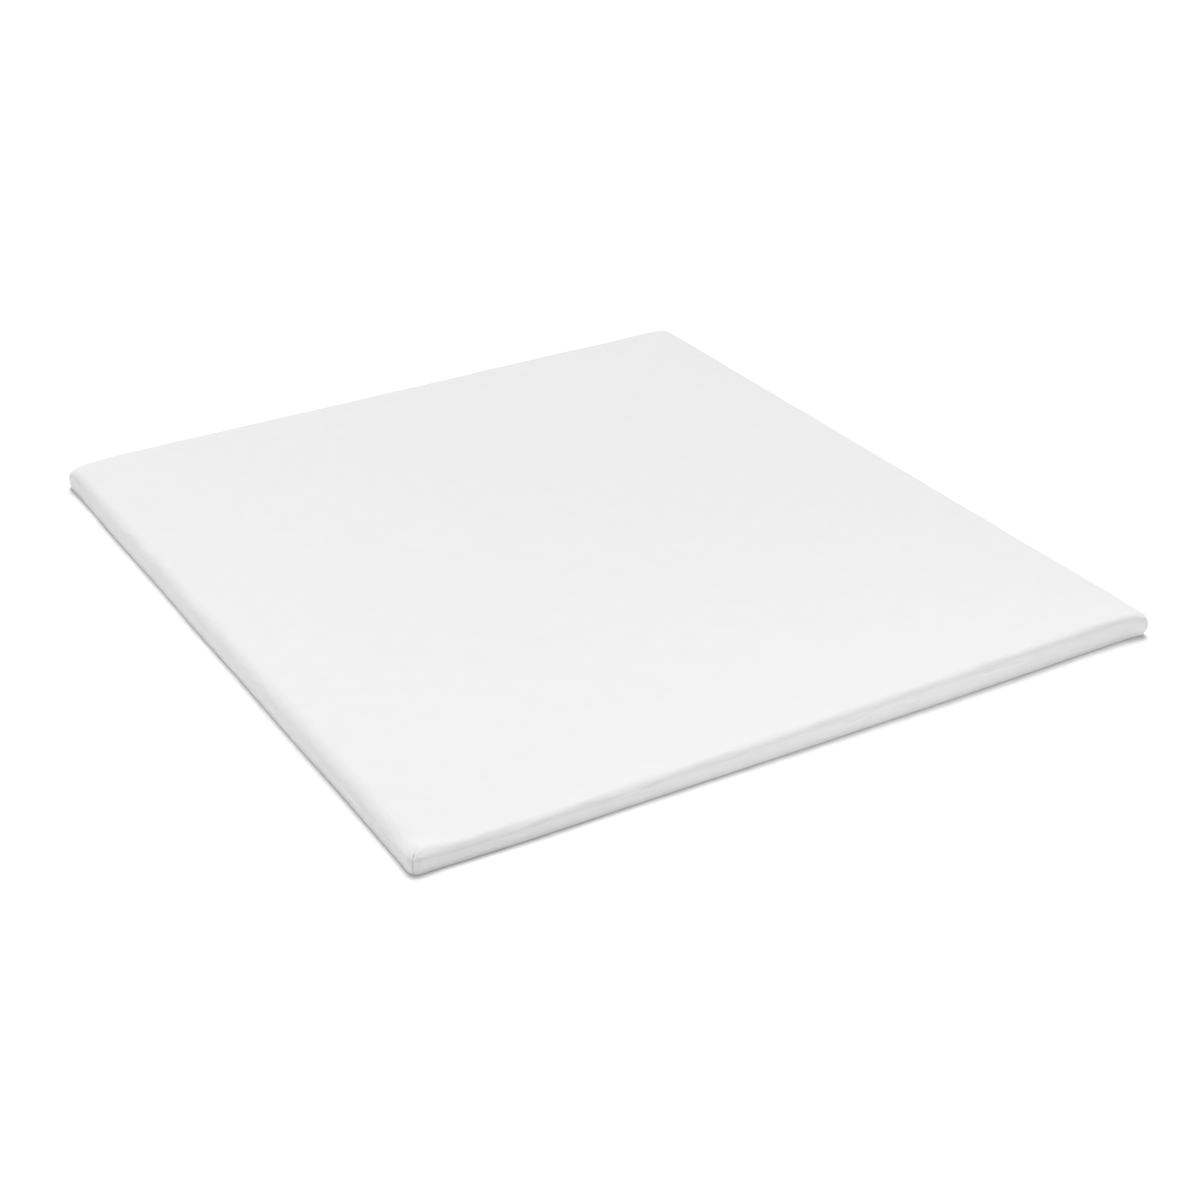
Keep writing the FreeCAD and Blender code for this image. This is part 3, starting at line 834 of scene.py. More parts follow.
class Bench:
    """Adds nodes to one tree and joins them up."""

    def __init__(self, tree: bpy.types.NodeTree) -> None:
        """Keep the tree to work on."""
        self.tree = tree

    def node(self, kind: str, inputs: dict[str | int, object], **settings: object) -> bpy.types.Node:
        """Add a node, set its own settings, and set or join its inputs.

        Args:
            kind: The node's type name, without ShaderNode in front.
            inputs: Input name or number, and the value or socket it gets.
            settings: The node's own settings.

        Returns:
            The new node.
        """
        made = self.tree.nodes.new("ShaderNode" + kind)
        for key, value in settings.items():
            setattr(made, key, value)
        for key, value in inputs.items():
            if isinstance(value, Socket):
                self.tree.links.new(value, made.inputs[key])
            else:
                made.inputs[key].default_value = value
        return made

    def sum(self, operation: str, *terms: object) -> Socket:
        """Add a Math node of this operation and give its result."""
        return self.node("Math", dict(enumerate(terms)), operation=operation).outputs[0]

    def join(self, value: Socket, node: bpy.types.Node, name: str) -> None:
        """Link a socket to a node's input."""
        self.tree.links.new(value, node.inputs[name])

    def mixed(self, factor: Socket, first: tuple[float, ...], second: tuple[float, ...]) -> Socket:
        """Mix two colours; a factor of 0 gives the first."""
        inputs = {"Factor": factor, 6: (*first, 1), 7: (*second, 1)}
        return self.node("Mix", inputs, data_type="RGBA").outputs[2]

    def noise(self, vector: Socket, scale: float | Socket, detail: float = 2.0) -> Socket:
        """Give a noise value from 0 to 1."""
        inputs = {"Vector": vector, "Scale": scale, "Detail": detail, "Roughness": 0.55}
        return self.node("TexNoise", inputs).outputs["Fac"]

    def range(self, value: Socket, low: float, high: float, start: object, end: object) -> Socket:
        """Map a value from low..high to start..end, clamped."""
        inputs = {0: value, 1: low, 2: high, 3: start, 4: end}
        return self.node("MapRange", inputs).outputs[0]


class Pattern(Enum):
    """The surface patterns that the finishes share."""

    KNIT = "knit loops"
    WEAVE = "plain weave"
    CELLS = "foam cells"
    MOTTLE = "uneven tone"
    GRAIN = "fine grain"


def new_group(
    name: str, inputs: dict[str, float | None], outputs: tuple[str, ...]
) -> tuple[Bench, dict[str, Socket], bpy.types.Node]:
    """Start a shader node group.

    Args:
        name: The group's name.
        inputs: Name and default of each input; None makes it a vector.
        outputs: Names of the outputs, which are all values.

    Returns:
        A bench for the group, its inputs by name, and its output node.
    """
    tree = bpy.data.node_groups.new(name, "ShaderNodeTree")
    for key, default in inputs.items():
        kind = "NodeSocketVector" if default is None else "NodeSocketFloat"
        socket = tree.interface.new_socket(name=key, in_out="INPUT", socket_type=kind)
        if default is not None:
            socket.default_value = default
    for key in outputs:
        tree.interface.new_socket(name=key, in_out="OUTPUT", socket_type="NodeSocketFloat")
    source = tree.nodes.new("NodeGroupInput")
    result = tree.nodes.new("NodeGroupOutput")
    return Bench(tree), {key: source.outputs[key] for key in inputs}, result


def knit_group() -> bpy.types.NodeTree:
    """Make the knit: columns of V-shaped loops, |sin(pi u)| times a wave along v.

    The wave's phase follows the distance from the column's middle, which gives each
    loop its V, and a little noise makes the loops uneven.

    Returns:
        The group's tree.
    """
    inputs = {"Vector": None, "Wale": 0.9, "Course": 0.7, "Unevenness": 0.2}
    bench, given, result = new_group(Pattern.KNIT.value, inputs, ("Height",))
    parts = bench.node("SeparateXYZ", {0: given["Vector"]}).outputs
    u = bench.sum("DIVIDE", bench.sum("MULTIPLY", parts[0], PER_METRE), given["Wale"])
    v = bench.sum("DIVIDE", bench.sum("MULTIPLY", parts[1], PER_METRE), given["Course"])
    jitter = bench.noise(given["Vector"], 420.0)
    jitter = bench.sum("MULTIPLY", bench.sum("SUBTRACT", jitter, 0.5), given["Unevenness"])
    u = bench.sum("ADD", u, jitter)
    loop = bench.sum("ABSOLUTE", bench.sum("SINE", bench.sum("MULTIPLY", u, math.pi)))
    middle = bench.sum("PINGPONG", u, 0.5)
    phase = bench.sum("MULTIPLY", bench.sum("ADD", bench.sum("ADD", v, middle), jitter), TAU)
    rung = bench.sum("MULTIPLY_ADD", bench.sum("SINE", phase), 0.3, 0.7)
    bench.join(bench.sum("MULTIPLY", loop, rung), result, "Height")
    return bench.tree


def weave_group() -> bpy.types.NodeTree:
    """Make the plain weave: warp and weft humps that swap places on a chequerboard.

    Returns:
        The group's tree.
    """
    bench, given, result = new_group(
        Pattern.WEAVE.value, {"Vector": None, "Warp": 0.5, "Weft": 0.5}, ("Height",)
    )
    parts = bench.node("SeparateXYZ", {0: given["Vector"]}).outputs
    u = bench.sum("DIVIDE", bench.sum("MULTIPLY", parts[0], PER_METRE * math.pi), given["Warp"])
    v = bench.sum("DIVIDE", bench.sum("MULTIPLY", parts[1], PER_METRE * math.pi), given["Weft"])
    over = bench.sum("MULTIPLY", bench.sum("SINE", u), bench.sum("SINE", v))
    bench.join(bench.sum("ABSOLUTE", over), result, "Height")
    return bench.tree


def cells_group() -> bpy.types.NodeTree:
    """Make open foam cells: round pits of two sizes, and a mask of the largest pits, which the foam
    finish uses for painted shade.

    Returns:
        The group's tree.
    """
    bench, given, result = new_group(
        Pattern.CELLS.value, {"Vector": None, "Cell": 1.2}, ("Height", "Pit")
    )
    scale = bench.sum("DIVIDE", PER_METRE, given["Cell"])
    small = bench.node("TexVoronoi", {"Vector": given["Vector"], "Scale": scale}).outputs["Distance"]
    wide = bench.sum("MULTIPLY", scale, 0.31)
    large = bench.node("TexVoronoi", {"Vector": given["Vector"], "Scale": wide}).outputs["Distance"]
    pit = bench.range(large, 0.05, 0.28, 0.0, 1.0)
    height = bench.sum("MULTIPLY", bench.range(small, 0.0, 0.55, 0.0, 1.0), pit)
    bench.join(height, result, "Height")
    bench.join(bench.sum("SUBTRACT", 1.0, pit), result, "Pit")
    return bench.tree


def mottle_group() -> bpy.types.NodeTree:
    """Make an uneven tone: broad and fine noise added up, from 0 to 1.

    Returns:
        The group's tree.
    """
    inputs = {"Vector": None, "Broad": 60.0, "Fine": 3.0, "Fine Share": 0.5}
    bench, given, result = new_group(Pattern.MOTTLE.value, inputs, ("Tone",))
    broad = bench.noise(given["Vector"], bench.sum("DIVIDE", PER_METRE, given["Broad"]), 3.0)
    fine = bench.noise(given["Vector"], bench.sum("DIVIDE", PER_METRE, given["Fine"]), 4.0)
    fine = bench.sum("SUBTRACT", fine, broad)
    tone = bench.sum("MULTIPLY_ADD", fine, given["Fine Share"], broad)
    bench.join(bench.range(tone, 0.3, 0.7, 0.0, 1.0), result, "Tone")
    return bench.tree


def grain_group() -> bpy.types.NodeTree:
    """Make a fine grain: noise stretched along one way, for fibres and orange peel.

    Returns:
        The group's tree.
    """
    bench, given, result = new_group(
        Pattern.GRAIN.value, {"Vector": None, "Size": 0.4, "Stretch": 1.0}, ("Height",)
    )
    parts = bench.node("SeparateXYZ", {0: given["Vector"]}).outputs
    along = bench.sum("DIVIDE", parts[0], given["Stretch"])
    vector = bench.node("CombineXYZ", {0: along, 1: parts[1], 2: parts[2]}).outputs[0]
    grain = bench.noise(vector, bench.sum("DIVIDE", PER_METRE, given["Size"]), 2.0)
    bench.join(grain, result, "Height")
    return bench.tree


GROUP_MAKERS = {
    Pattern.KNIT: knit_group,
    Pattern.WEAVE: weave_group,
    Pattern.CELLS: cells_group,
    Pattern.MOTTLE: mottle_group,
    Pattern.GRAIN: grain_group,
}


def placed(bench: Bench, pattern: Pattern, inputs: dict[str, object]) -> bpy.types.Node:
    """Place a shared pattern in a material, building its group the first time.

    Args:
        bench: The material's bench.
        pattern: Which pattern.
        inputs: Its inputs by name.

    Returns:
        The group node.
    """
    group = bpy.data.node_groups.get(pattern.value) or GROUP_MAKERS[pattern]()
    return bench.node("Group", inputs, node_tree=group)


def started(name: str) -> tuple[bpy.types.Material, Bench, bpy.types.Node, Socket]:
    """Start a material.

    Args:
        name: The material's name.

    Returns:
        The material, a bench for its nodes, its shader, and its Object coordinates.
    """
    made = bpy.data.materials.new(name)
    made.use_nodes = True
    bench = Bench(made.node_tree)
    shader = made.node_tree.nodes["Principled BSDF"]
    return made, bench, shader, bench.node("TexCoord", {}).outputs["Object"]


def preset(shader: bpy.types.Node, inputs: dict[str, float]) -> None:
    """Set the shader's own numbers, which are the same all over the surface."""
    for name, value in inputs.items():
        shader.inputs[name].default_value = value


@dataclass(frozen=True)
class Cloth:
    """A cloth finish: its pattern in relief, painted shade between the threads, an uneven tone, and a
    soft sheen.
    """

    name: str
    light: tuple[float, float, float]
    dark: tuple[float, float, float]
    pattern: Pattern
    pitch: tuple[float, float]
    relief: float
    roughness: float = 0.85
    sheen: float = 0.15
    broad: float = 45.0
    fine: float = 2.6
    crinkle: float = 0.0
    flat_pattern: bool = True

    def material(self) -> bpy.types.Material:
        """Build the material.

        Returns:
            The material, with its shared patterns placed.
        """
        made, bench, shader, place = started(self.name)
        flat = bench.node("UVMap", {}, uv_map="Pattern").outputs[0] if self.flat_pattern else place
        names = ("Wale", "Course") if self.pattern is Pattern.KNIT else ("Warp", "Weft")
        threads = placed(
            bench, self.pattern, {"Vector": flat, names[0]: self.pitch[0], names[1]: self.pitch[1]}
        ).outputs["Height"]
        tone = placed(
            bench, Pattern.MOTTLE, {"Vector": place, "Broad": self.broad, "Fine": self.fine}
        ).outputs["Tone"]
        # Painted shade: the colour darkens where the threads' relief is low, between the loops, on top
        # of the random uneven tone.
        tone_and_painted_shade = bench.sum("MULTIPLY_ADD", threads, 0.35, bench.sum("MULTIPLY", tone, 0.65))
        colour = bench.mixed(tone_and_painted_shade, self.dark, self.light)
        fibre = placed(bench, Pattern.GRAIN, {"Vector": place, "Size": 0.25}).outputs["Height"]
        height = bench.sum("MULTIPLY_ADD", fibre, 0.25, threads)
        bump = bench.node("Bump", {"Strength": 0.6, "Distance": self.relief, "Height": height})
        if self.crinkle:
            creases = placed(bench, Pattern.MOTTLE, {"Vector": place, "Broad": 28.0, "Fine": 7.0})
            bump = bench.node("Bump", {
                "Strength": 0.5, "Distance": self.crinkle, "Height": creases.outputs["Tone"],
                "Normal": bump.outputs[0],
            })
        bench.join(bump.outputs[0], shader, "Normal")
        bench.join(colour, shader, "Base Color")
        rough = bench.range(threads, 0.0, 1.0, min(self.roughness + 0.08, 1.0), self.roughness)
        bench.join(rough, shader, "Roughness")
        preset(shader, {"Sheen Weight": self.sheen, "Sheen Roughness": 0.5, "Specular IOR Level": 0.25})
        return made


@dataclass(frozen=True)
class Foam:
    """An open-cell foam finish: pits in relief, painted shade that darkens the largest pits, and matt.
    """

    name: str
    light: tuple[float, float, float]
    dark: tuple[float, float, float]
    cell: float

    def material(self) -> bpy.types.Material:
        """Build the material.

        Returns:
            The material, with its shared patterns placed.
        """
        made, bench, shader, place = started(self.name)
        cells = placed(bench, Pattern.CELLS, {"Vector": place, "Cell": self.cell})
        tone = placed(bench, Pattern.MOTTLE, {"Vector": place, "Broad": 90.0, "Fine": 5.0})
        tone_and_painted_shade = bench.sum("MULTIPLY", tone.outputs["Tone"], 0.5)
        # Painted shade: the largest pits are darkened, added to the random uneven tone.
        tone_and_painted_shade = bench.sum("ADD", tone_and_painted_shade, bench.sum("MULTIPLY", cells.outputs["Pit"], 0.7))
        colour = bench.mixed(tone_and_painted_shade, self.light, self.dark)
        bump = bench.node("Bump", {
            "Strength": 0.8, "Distance": 0.0005, "Height": cells.outputs["Height"],
        })
        bench.join(colour, shader, "Base Color")
        bench.join(bump.outputs[0], shader, "Normal")
        preset(shader, {"Roughness": 0.95, "Sheen Weight": 0.2})
        return made


@dataclass(frozen=True)
class Hard:
    """A smooth finish for enamel, plastic filament and thread: grain, tone and gloss."""

    name: str
    light: tuple[float, float, float]
    dark: tuple[float, float, float]
    roughness: float
    grain: float
    stretch: float
    relief: float
    coat: float = 0.0
    sheen: float = 0.0

    def material(self) -> bpy.types.Material:
        """Build the material.

        Returns:
            The material, with its shared patterns placed.
        """
        made, bench, shader, place = started(self.name)
        tone = placed(bench, Pattern.MOTTLE, {"Vector": place, "Broad": 12.0, "Fine": 0.8})
        colour = bench.mixed(tone.outputs["Tone"], self.light, self.dark)
        grain = placed(
            bench, Pattern.GRAIN, {"Vector": place, "Size": self.grain, "Stretch": self.stretch}
        ).outputs["Height"]
        bump = bench.node("Bump", {"Strength": 0.5, "Distance": self.relief, "Height": grain})
        rough = bench.range(grain, 0.2, 0.8, self.roughness, self.roughness + 0.12)
        bench.join(colour, shader, "Base Color")
        bench.join(bump.outputs[0], shader, "Normal")
        bench.join(rough, shader, "Roughness")
        preset(shader, {"Coat Weight": self.coat, "Coat Roughness": 0.15, "Sheen Weight": self.sheen})
        return made


JERSEY = Cloth(
    "white_stretch_jersey", (0.80, 0.80, 0.805), (0.765, 0.765, 0.773), Pattern.KNIT,
    (0.85, 0.65), 0.12 * MM, crinkle=0.10 * MM,
)
WARP_KNIT = Cloth(
    "white_warp_knit", (0.76, 0.76, 0.77), (0.69, 0.69, 0.70), Pattern.KNIT,
    (1.25, 1.6), 0.25 * MM, roughness=0.9,
)
LINER_KNIT = Cloth(
    "thin_interlock", (0.80, 0.79, 0.76), (0.73, 0.72, 0.69), Pattern.KNIT,
    (1.1, 0.9), 0.18 * MM, roughness=0.9,
)
TAPE_WEAVE = Cloth(
    "woven_zip_tape", (0.78, 0.78, 0.79), (0.66, 0.66, 0.68), Pattern.WEAVE,
    (0.55, 0.42), 0.15 * MM, roughness=0.7, sheen=0.25, flat_pattern=False,
)
SATIN = Cloth(
    "satin_ribbon", (0.86, 0.86, 0.87), (0.78, 0.78, 0.80), Pattern.WEAVE,
    (0.9, 0.22), 0.05 * MM, roughness=0.38, sheen=0.35,
)
COMFORT_FOAM = Foam("cream_memory_foam", (0.86, 0.80, 0.62), (0.66, 0.58, 0.40), 1.1)
SUPPORT_FOAM = Foam("pale_blue_foam", (0.66, 0.73, 0.78), (0.45, 0.52, 0.58), 1.8)
THREAD = Hard(
    "white_thread", (0.82, 0.82, 0.82), (0.70, 0.70, 0.71),
    roughness=0.6, grain=0.25, stretch=4.0, relief=0.08 * MM, sheen=0.4,
)
FILAMENT = Hard(
    "coil_filament", (0.80, 0.80, 0.81), (0.72, 0.72, 0.74),
    roughness=0.32, grain=0.5, stretch=1.0, relief=0.01 * MM,
)
ENAMEL = Hard(
    "white_enamel", (0.80, 0.80, 0.81), (0.77, 0.77, 0.78),
    roughness=0.22, grain=0.9, stretch=1.0, relief=0.015 * MM, coat=0.35,
)


def dressed(piece: bpy.types.Object, material: bpy.types.Material) -> bpy.types.Object:
    """Give a piece its material."""
    piece.data.materials.append(material)
    return piece


def settled(piece: bpy.types.Object, body: str, slot: str, *nodes: str) -> bpy.types.Object:
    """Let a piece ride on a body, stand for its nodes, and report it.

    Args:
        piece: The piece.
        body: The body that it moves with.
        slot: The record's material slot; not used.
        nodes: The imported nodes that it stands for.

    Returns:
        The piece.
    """
    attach(piece, body)
    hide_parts(*nodes)
    LOG.info("%s: %d faces, rides on %s", piece.name, len(piece.data.polygons), body)
    return piece


# ------------------------------------------------------------------- the cover

@dataclass
class StretchCase:
    """The jersey that runs in one piece over the top and down the four sides."""

    bed: Bed
    outline: Outline
    roll_across: tuple[float, ...] = (0.016, 0.011, 0.012, 0.032)
    roll_up: tuple[float, ...] = (0.019, 0.013, 0.013, 0.036)
    belly: tuple[float, ...] = (0.5 * MM, 0.5 * MM, 0.0, 0.5 * MM)
    widest: float = 0.026
    corner_radii: tuple[float, ...] = (0.020, 0.014, 0.020, 0.020)
    foot: float = 2.7
    lip: tuple = ((2.6, 2.2), (1.6, 1.4), (0.6, 0.85), (-0.3, 0.75), (-0.75, 1.3))
    hem: tuple = ((0.95, 27.0), (0.95, 24.2), (0.85, 23.35), (0.45, 23.1), (0.1, 23.5))
    hem_top: float = 24.2
    wall_rows: int = 22
    roll_rows: int = 15
    tuck_bulge: float = 1.7 * MM
    tuck_groove: float = 0.5 * MM
    top_insets: tuple = (2.0, 5.0, 9.0, 14.0, 21.0, 30.0, 41.0, 53.0)
    patch_inset: float = 0.125
    folds: tuple[Fold, ...] = (
        Fold(Side.FRONT, (0.06, 0.018), (0.20, 0.046), 0.9 * MM, 3.0 * MM),
        Fold(Side.FRONT, (-0.52, 0.008), (-0.24, 0.014), 0.7 * MM, 1.8 * MM),
        Fold(Side.FRONT, (-0.83, 0.034), (-0.60, 0.041), 0.6 * MM, 2.4 * MM),
        Fold(Side.FRONT, (0.44, 0.040), (0.70, 0.028), 0.6 * MM, 2.6 * MM),
        Fold(Side.FRONT, (0.70, 0.012), (0.86, 0.020), 0.6 * MM, 2.2 * MM),
        Fold(Side.LEFT, (-0.985, 0.034), (-0.80, 0.028), 0.9 * MM, 2.4 * MM),
        Fold(Side.LEFT, (0.55, 0.020), (0.93, 0.030), 0.5 * MM, 3.0 * MM),
        Fold(Side.RIGHT, (-0.90, 0.026), (-0.66, 0.038), 0.7 * MM, 2.8 * MM),
        Fold(Side.RIGHT, (0.20, 0.038), (0.48, 0.026), 0.6 * MM, 2.6 * MM),
        Fold(Side.REAR, (-0.50, 0.034), (-0.22, 0.042), 0.5 * MM, 2.2 * MM),
        Fold(Side.REAR, (0.35, 0.042), (0.60, 0.033), 0.5 * MM, 2.4 * MM),
    )
    darts: tuple[Dart, ...] = (
        Dart(0, 0.046), Dart(1, lean=-1.0), Dart(2), Dart(3, 0.040, lean=-1.0),
    )

    def _rings(self) -> Casing:
        """Lay out the rings: hem, wall, rolled edge and the border of the top.

        The roll is a quarter ellipse whose two radii wander along the sides. The wall
        bellies out by a parabola. Behind the zip the lowest rings stop above it.

        Returns:
            The rings, with a patch that closes the top.
        """
        out, bed = self.outline, self.bed
        window = self._window()
        wander = out.ripple(Ripple(0.16, (0.13, 0.34), (9.0, 10.0), seed=23))
        drift = out.ripple(Ripple(0.14, (0.16, 0.45), (9.0, 10.0), seed=24))
        calm = out.by_side((1.0, 0.8, 0.7, 0.35))
        up = out.by_side(self.roll_up) * (1 + wander * calm)
        across = out.by_side(self.roll_across) * (1 + drift * calm)
        belly = out.by_side(self.belly)

        def pulled_in(level: np.ndarray) -> np.ndarray:
            """Give the parabola of the wall's belly."""
            return belly * ((level - self.widest) / self.widest) ** 2

        insets, levels = [], []
        foot = np.full(out.count, self.foot * MM)
        for (in_lip, up_lip), (in_hem, up_hem) in zip(self.lip, self.hem):
            insets.append((in_lip + (in_hem - in_lip) * window) * MM + pulled_in(foot) * (1 - window))
            levels.append((up_lip + (up_hem - up_lip) * window) * MM)
        low = (self.foot + (self.hem_top - self.foot) * window) * MM
        high = bed.height - up
        for step in np.linspace(0, 1, self.wall_rows):
            levels.append(low + (high - low) * step)
            insets.append(pulled_in(levels[-1]))
        for turn in np.linspace(0, QUARTER, self.roll_rows + 1)[1:]:
            levels.append(high + up * math.sin(turn))
            insets.append(pulled_in(high) + across * (1 - math.cos(turn)))
        edge = insets[-1]
        for more in self.top_insets:
            levels.append(np.full(out.count, bed.height))
            insets.append(edge + more * MM)
        levels.append(levels[-1])
        insets.append(insets[-1])
        inset = np.array(insets) + bed.sway(out) * ease(0.09, 0.03, np.array(insets))
        rows = len(insets)
        flat_rows = len(self.top_insets)
        top = np.clip((np.arange(rows) - (rows - 1 - flat_rows)) / flat_rows, 0, 1)
        corner = np.array(self.corner_radii)[out.corner_number]
        radius = corner + 0.008 * ease(0.004, 0.055, np.array(levels)) + 0.03 * top[:, None]
        sharpness = top**3
        level = np.array(levels)
        return Casing(out, inset, level, radius, sharpness, self.patch_inset, patch_end=True)

    def _window(self) -> np.ndarray:
        """Give the zip window's share.

        Returns:
            1 at the columns behind the zip, 0 elsewhere, and eased over 6 mm between.
        """
        beside = np.abs(self.bed.beside(self.outline))
        end = self.bed.zip_half
        share = ease(end + 5 * MM, end - 1 * MM, beside)
        return share * (self.outline.columns["side"] == Side.REAR.value)

    def _relief(self, points: np.ndarray) -> np.ndarray:
        """Give the cloth's relief along its own normal at every ring point.

        It adds stretch ripples that run along the sides, the tuck over the lower seam,
        the slack folds and the corner darts.

        Args:
            points: The rings' points, (rows, columns, 3).

        Returns:
            The height over the plain cloth at each point.
        """
        out = self.outline
        level = points[..., 2]
        wall = ease(0.004, 0.010, level) * ease(0.060, 0.052, level)
        calm = out.by_side((1.0, 0.8, 0.35, 0.75))
        fine = out.ripple(Ripple(0.20 * MM, (0.06, 0.28), (0.010, 0.024), seed=5, waves=9), level)
        slow = out.ripple(Ripple(0.35 * MM, (0.18, 0.60), (0.05, 0.12), seed=6), level)
        relief = (fine + slow) * wall * calm
        tight = np.clip(0.55 + out.ripple(Ripple(0.5, (0.2, 0.7), (9.0, 10.0), seed=8)), 0, 1)
        line = 6.4 * MM + out.ripple(Ripple(0.7 * MM, (0.15, 0.5), (9.0, 10.0), seed=9))
        tuck = self.tuck_bulge * bell(level - line + 3.8 * MM, 2.2 * MM)
        tuck = tuck - self.tuck_groove * bell(level - line, 1.4 * MM) * tight
        relief = relief + tuck * out.by_side((1.0, 1.0, 0.0, 1.0), 0.02) * (1 - self._window())
        beside = np.broadcast_to(self.bed.beside(out), level.shape)
        for fold in self.folds:
            relief = relief + fold.relief(out.columns["side"], beside, level)
        for dart in self.darts:
            relief = relief + dart.relief(out.corner, out.corner_number, level)
        return relief * ease(0.002, 0.004, level)

    def _top_wave(self, points: np.ndarray) -> np.ndarray:
        """Give how far the top lies above its nominal level: broad waves, finer at the border.

        Args:
            points: Points of the case, (n, 3).

        Returns:
            The rise at each point, 0 on the walls.
        """
        x, y = points[:, 0], points[:, 1]
        wave = Ripple(0.45 * MM, (0.5, 1.6), (0.6, 1.8), seed=31, waves=6).at(x, y)
        slack = Ripple(0.35 * MM, (0.12, 0.40), (0.12, 0.40), seed=33).at(x, y)
        border = np.minimum(self.bed.half_x - np.abs(x), self.bed.half_y - np.abs(y))
        return (wave - 0.25 * MM + slack * bell(border - 0.05, 0.06)) * ease(0.03, 0.055, points[:, 2])

    def build(self, finish: Cloth) -> bpy.types.Object:
        """Make the jersey case.

        Args:
            finish: The jersey's finish.

        Returns:
            The piece.
        """
        casing = self._rings()
        shell = casing.shell()
        rows, count = casing.level.shape
        rings = shell.points[: rows * count].reshape(rows, count, 3)
        rings += ring_normals(rings) * self._relief(rings)[..., None]
        shell.points[:, 2] += self._top_wave(shell.points)
        self.bed.settle(shell.points)
        piece = dressed(shell.made("jersey_case"), finish.material())
        return settled(piece, "mattress", "cover_jersey", "cover_top")


@dataclass
class Underside:
    """The knitted panel under the bed, with the strip that turns up to the zip."""

    bed: Bed
    outline: Outline
    edge: tuple = (
        (40.0, 0.0), (22.0, 0.0), (11.0, 0.0), (6.0, 0.0), (3.2, 0.03), (1.9, 0.1),
        (1.25, 0.22), (0.85, 0.38), (0.65, 0.6), (0.65, 0.8), (0.85, 0.98), (1.2, 1.12),
        (1.9, 1.6), (3.0, 2.4),
    )
    strip: tuple = (
        (40.0, 0.0), (22.0, 0.0), (11.0, 0.0), (6.0, 0.0), (3.2, 0.05), (1.4, 0.4),
        (0.5, 1.3), (0.08, 2.8), (0.0, 5.0), (0.0, 9.0), (0.0, 11.6), (0.2, 12.7),
        (0.75, 12.7), (0.95, 9.0),
    )
    patch_inset: float = 0.090
    radius: float = 0.022

    def build(self, finish: Cloth) -> bpy.types.Object:
        """Make the panel from its middle out to its turned-in edge.

        Args:
            finish: The knit's finish.

        Returns:
            The piece.
        """
        out = self.outline
        beside = np.abs(self.bed.beside(out))
        rear = out.columns["side"] == Side.REAR.value
        window = ease(self.bed.zip_half + 15 * MM, self.bed.zip_half + 9 * MM, beside) * rear
        tucked = ease(self.bed.zip_half - 6 * MM, self.bed.zip_half - 1 * MM, beside)
        tucked = 1.3 * MM * tucked * rear
        plain, turned = np.array(self.edge), np.array(self.strip)
        mixed = plain[:, None] + (turned - plain)[:, None] * window[None, :, None]
        mixed = np.concatenate((mixed[:1], mixed)) * MM
        inset = mixed[..., 0] + self.bed.sway(out) * ease(0.04, 0.01, mixed[..., 0])
        inset = inset + (out.by_side((0.4, 0.4, 0.0, 0.4)) * MM + tucked) * (mixed[..., 0] < 0.005)
        sharpness = np.zeros(len(mixed))
        sharpness[0] = 1.0
        radius = np.full((len(mixed), 1), self.radius)
        casing = Casing(out, inset, mixed[..., 1], radius, sharpness, self.patch_inset, True)
        shell = casing.shell()
        self.bed.settle(shell.points)
        piece = dressed(shell.made("knit_underside"), finish.material())
        return settled(piece, "mattress", "underside_knit", "cover_bottom")


# -------------------------------------------------------------------- the core

@dataclass
class FoamLayer:
    """One slab of foam: cut sides, and edges either rounded or bevelled."""

    bed: Bed
    outline: Outline
    name: str
    node: str
    slot: str
    low: float
    high: float
    lower_edge: tuple[tuple[float, ...], tuple[float, ...]]
    upper_edge: tuple[tuple[float, ...], tuple[float, ...]]
    inset: float = 4.6 * MM
    radius: float = 0.032
    patch_inset: float = 0.09

    def build(self, finish: Foam) -> bpy.types.Object:
        """Make the slab: each edge is a quarter ellipse with its own two radii.

        Args:
            finish: The foam's finish.

        Returns:
            The piece.
        """
        out = self.outline
        insets, levels = [], []
        low_in, low_up = (out.by_side(size) for size in self.lower_edge)
        high_in, high_up = (out.by_side(size) for size in self.upper_edge)
        for turn in np.linspace(0, QUARTER, 7):
            insets.append(self.inset + low_in * (1 - math.sin(turn)))
            levels.append(self.low + low_up * (1 - math.cos(turn)))
        for turn in np.linspace(0, QUARTER, 10):
            insets.append(self.inset + high_in * (1 - math.cos(turn)))
            levels.append(self.high - high_up * (1 - math.sin(turn)))
        below = [insets[0] + 0.02, insets[0] + 0.008]
        insets = below + insets + [insets[-1] + 0.01, insets[-1] + 0.02]
        levels = [levels[0]] * 2 + levels + [levels[-1]] * 2
        level = np.array([np.broadcast_to(row, out.count) for row in levels])
        inset = np.array([np.broadcast_to(row, out.count) for row in insets])
        cut = out.ripple(Ripple(0.25 * MM, (0.05, 0.3), (0.02, 0.1), seed=41), level)
        inset = inset + self.bed.sway(out) + np.abs(cut)
        sharpness = np.zeros(len(level))
        sharpness[[0, -1]] = 1.0
        radius = np.full((len(level), 1), self.radius)
        casing = Casing(out, inset, level, radius, sharpness, self.patch_inset, True, True)
        shell = casing.shell()
        shell.pattern = None
        self.bed.settle(shell.points)
        piece = dressed(shell.made(self.name), finish.material())
        return settled(piece, "mattress", self.slot, self.node)


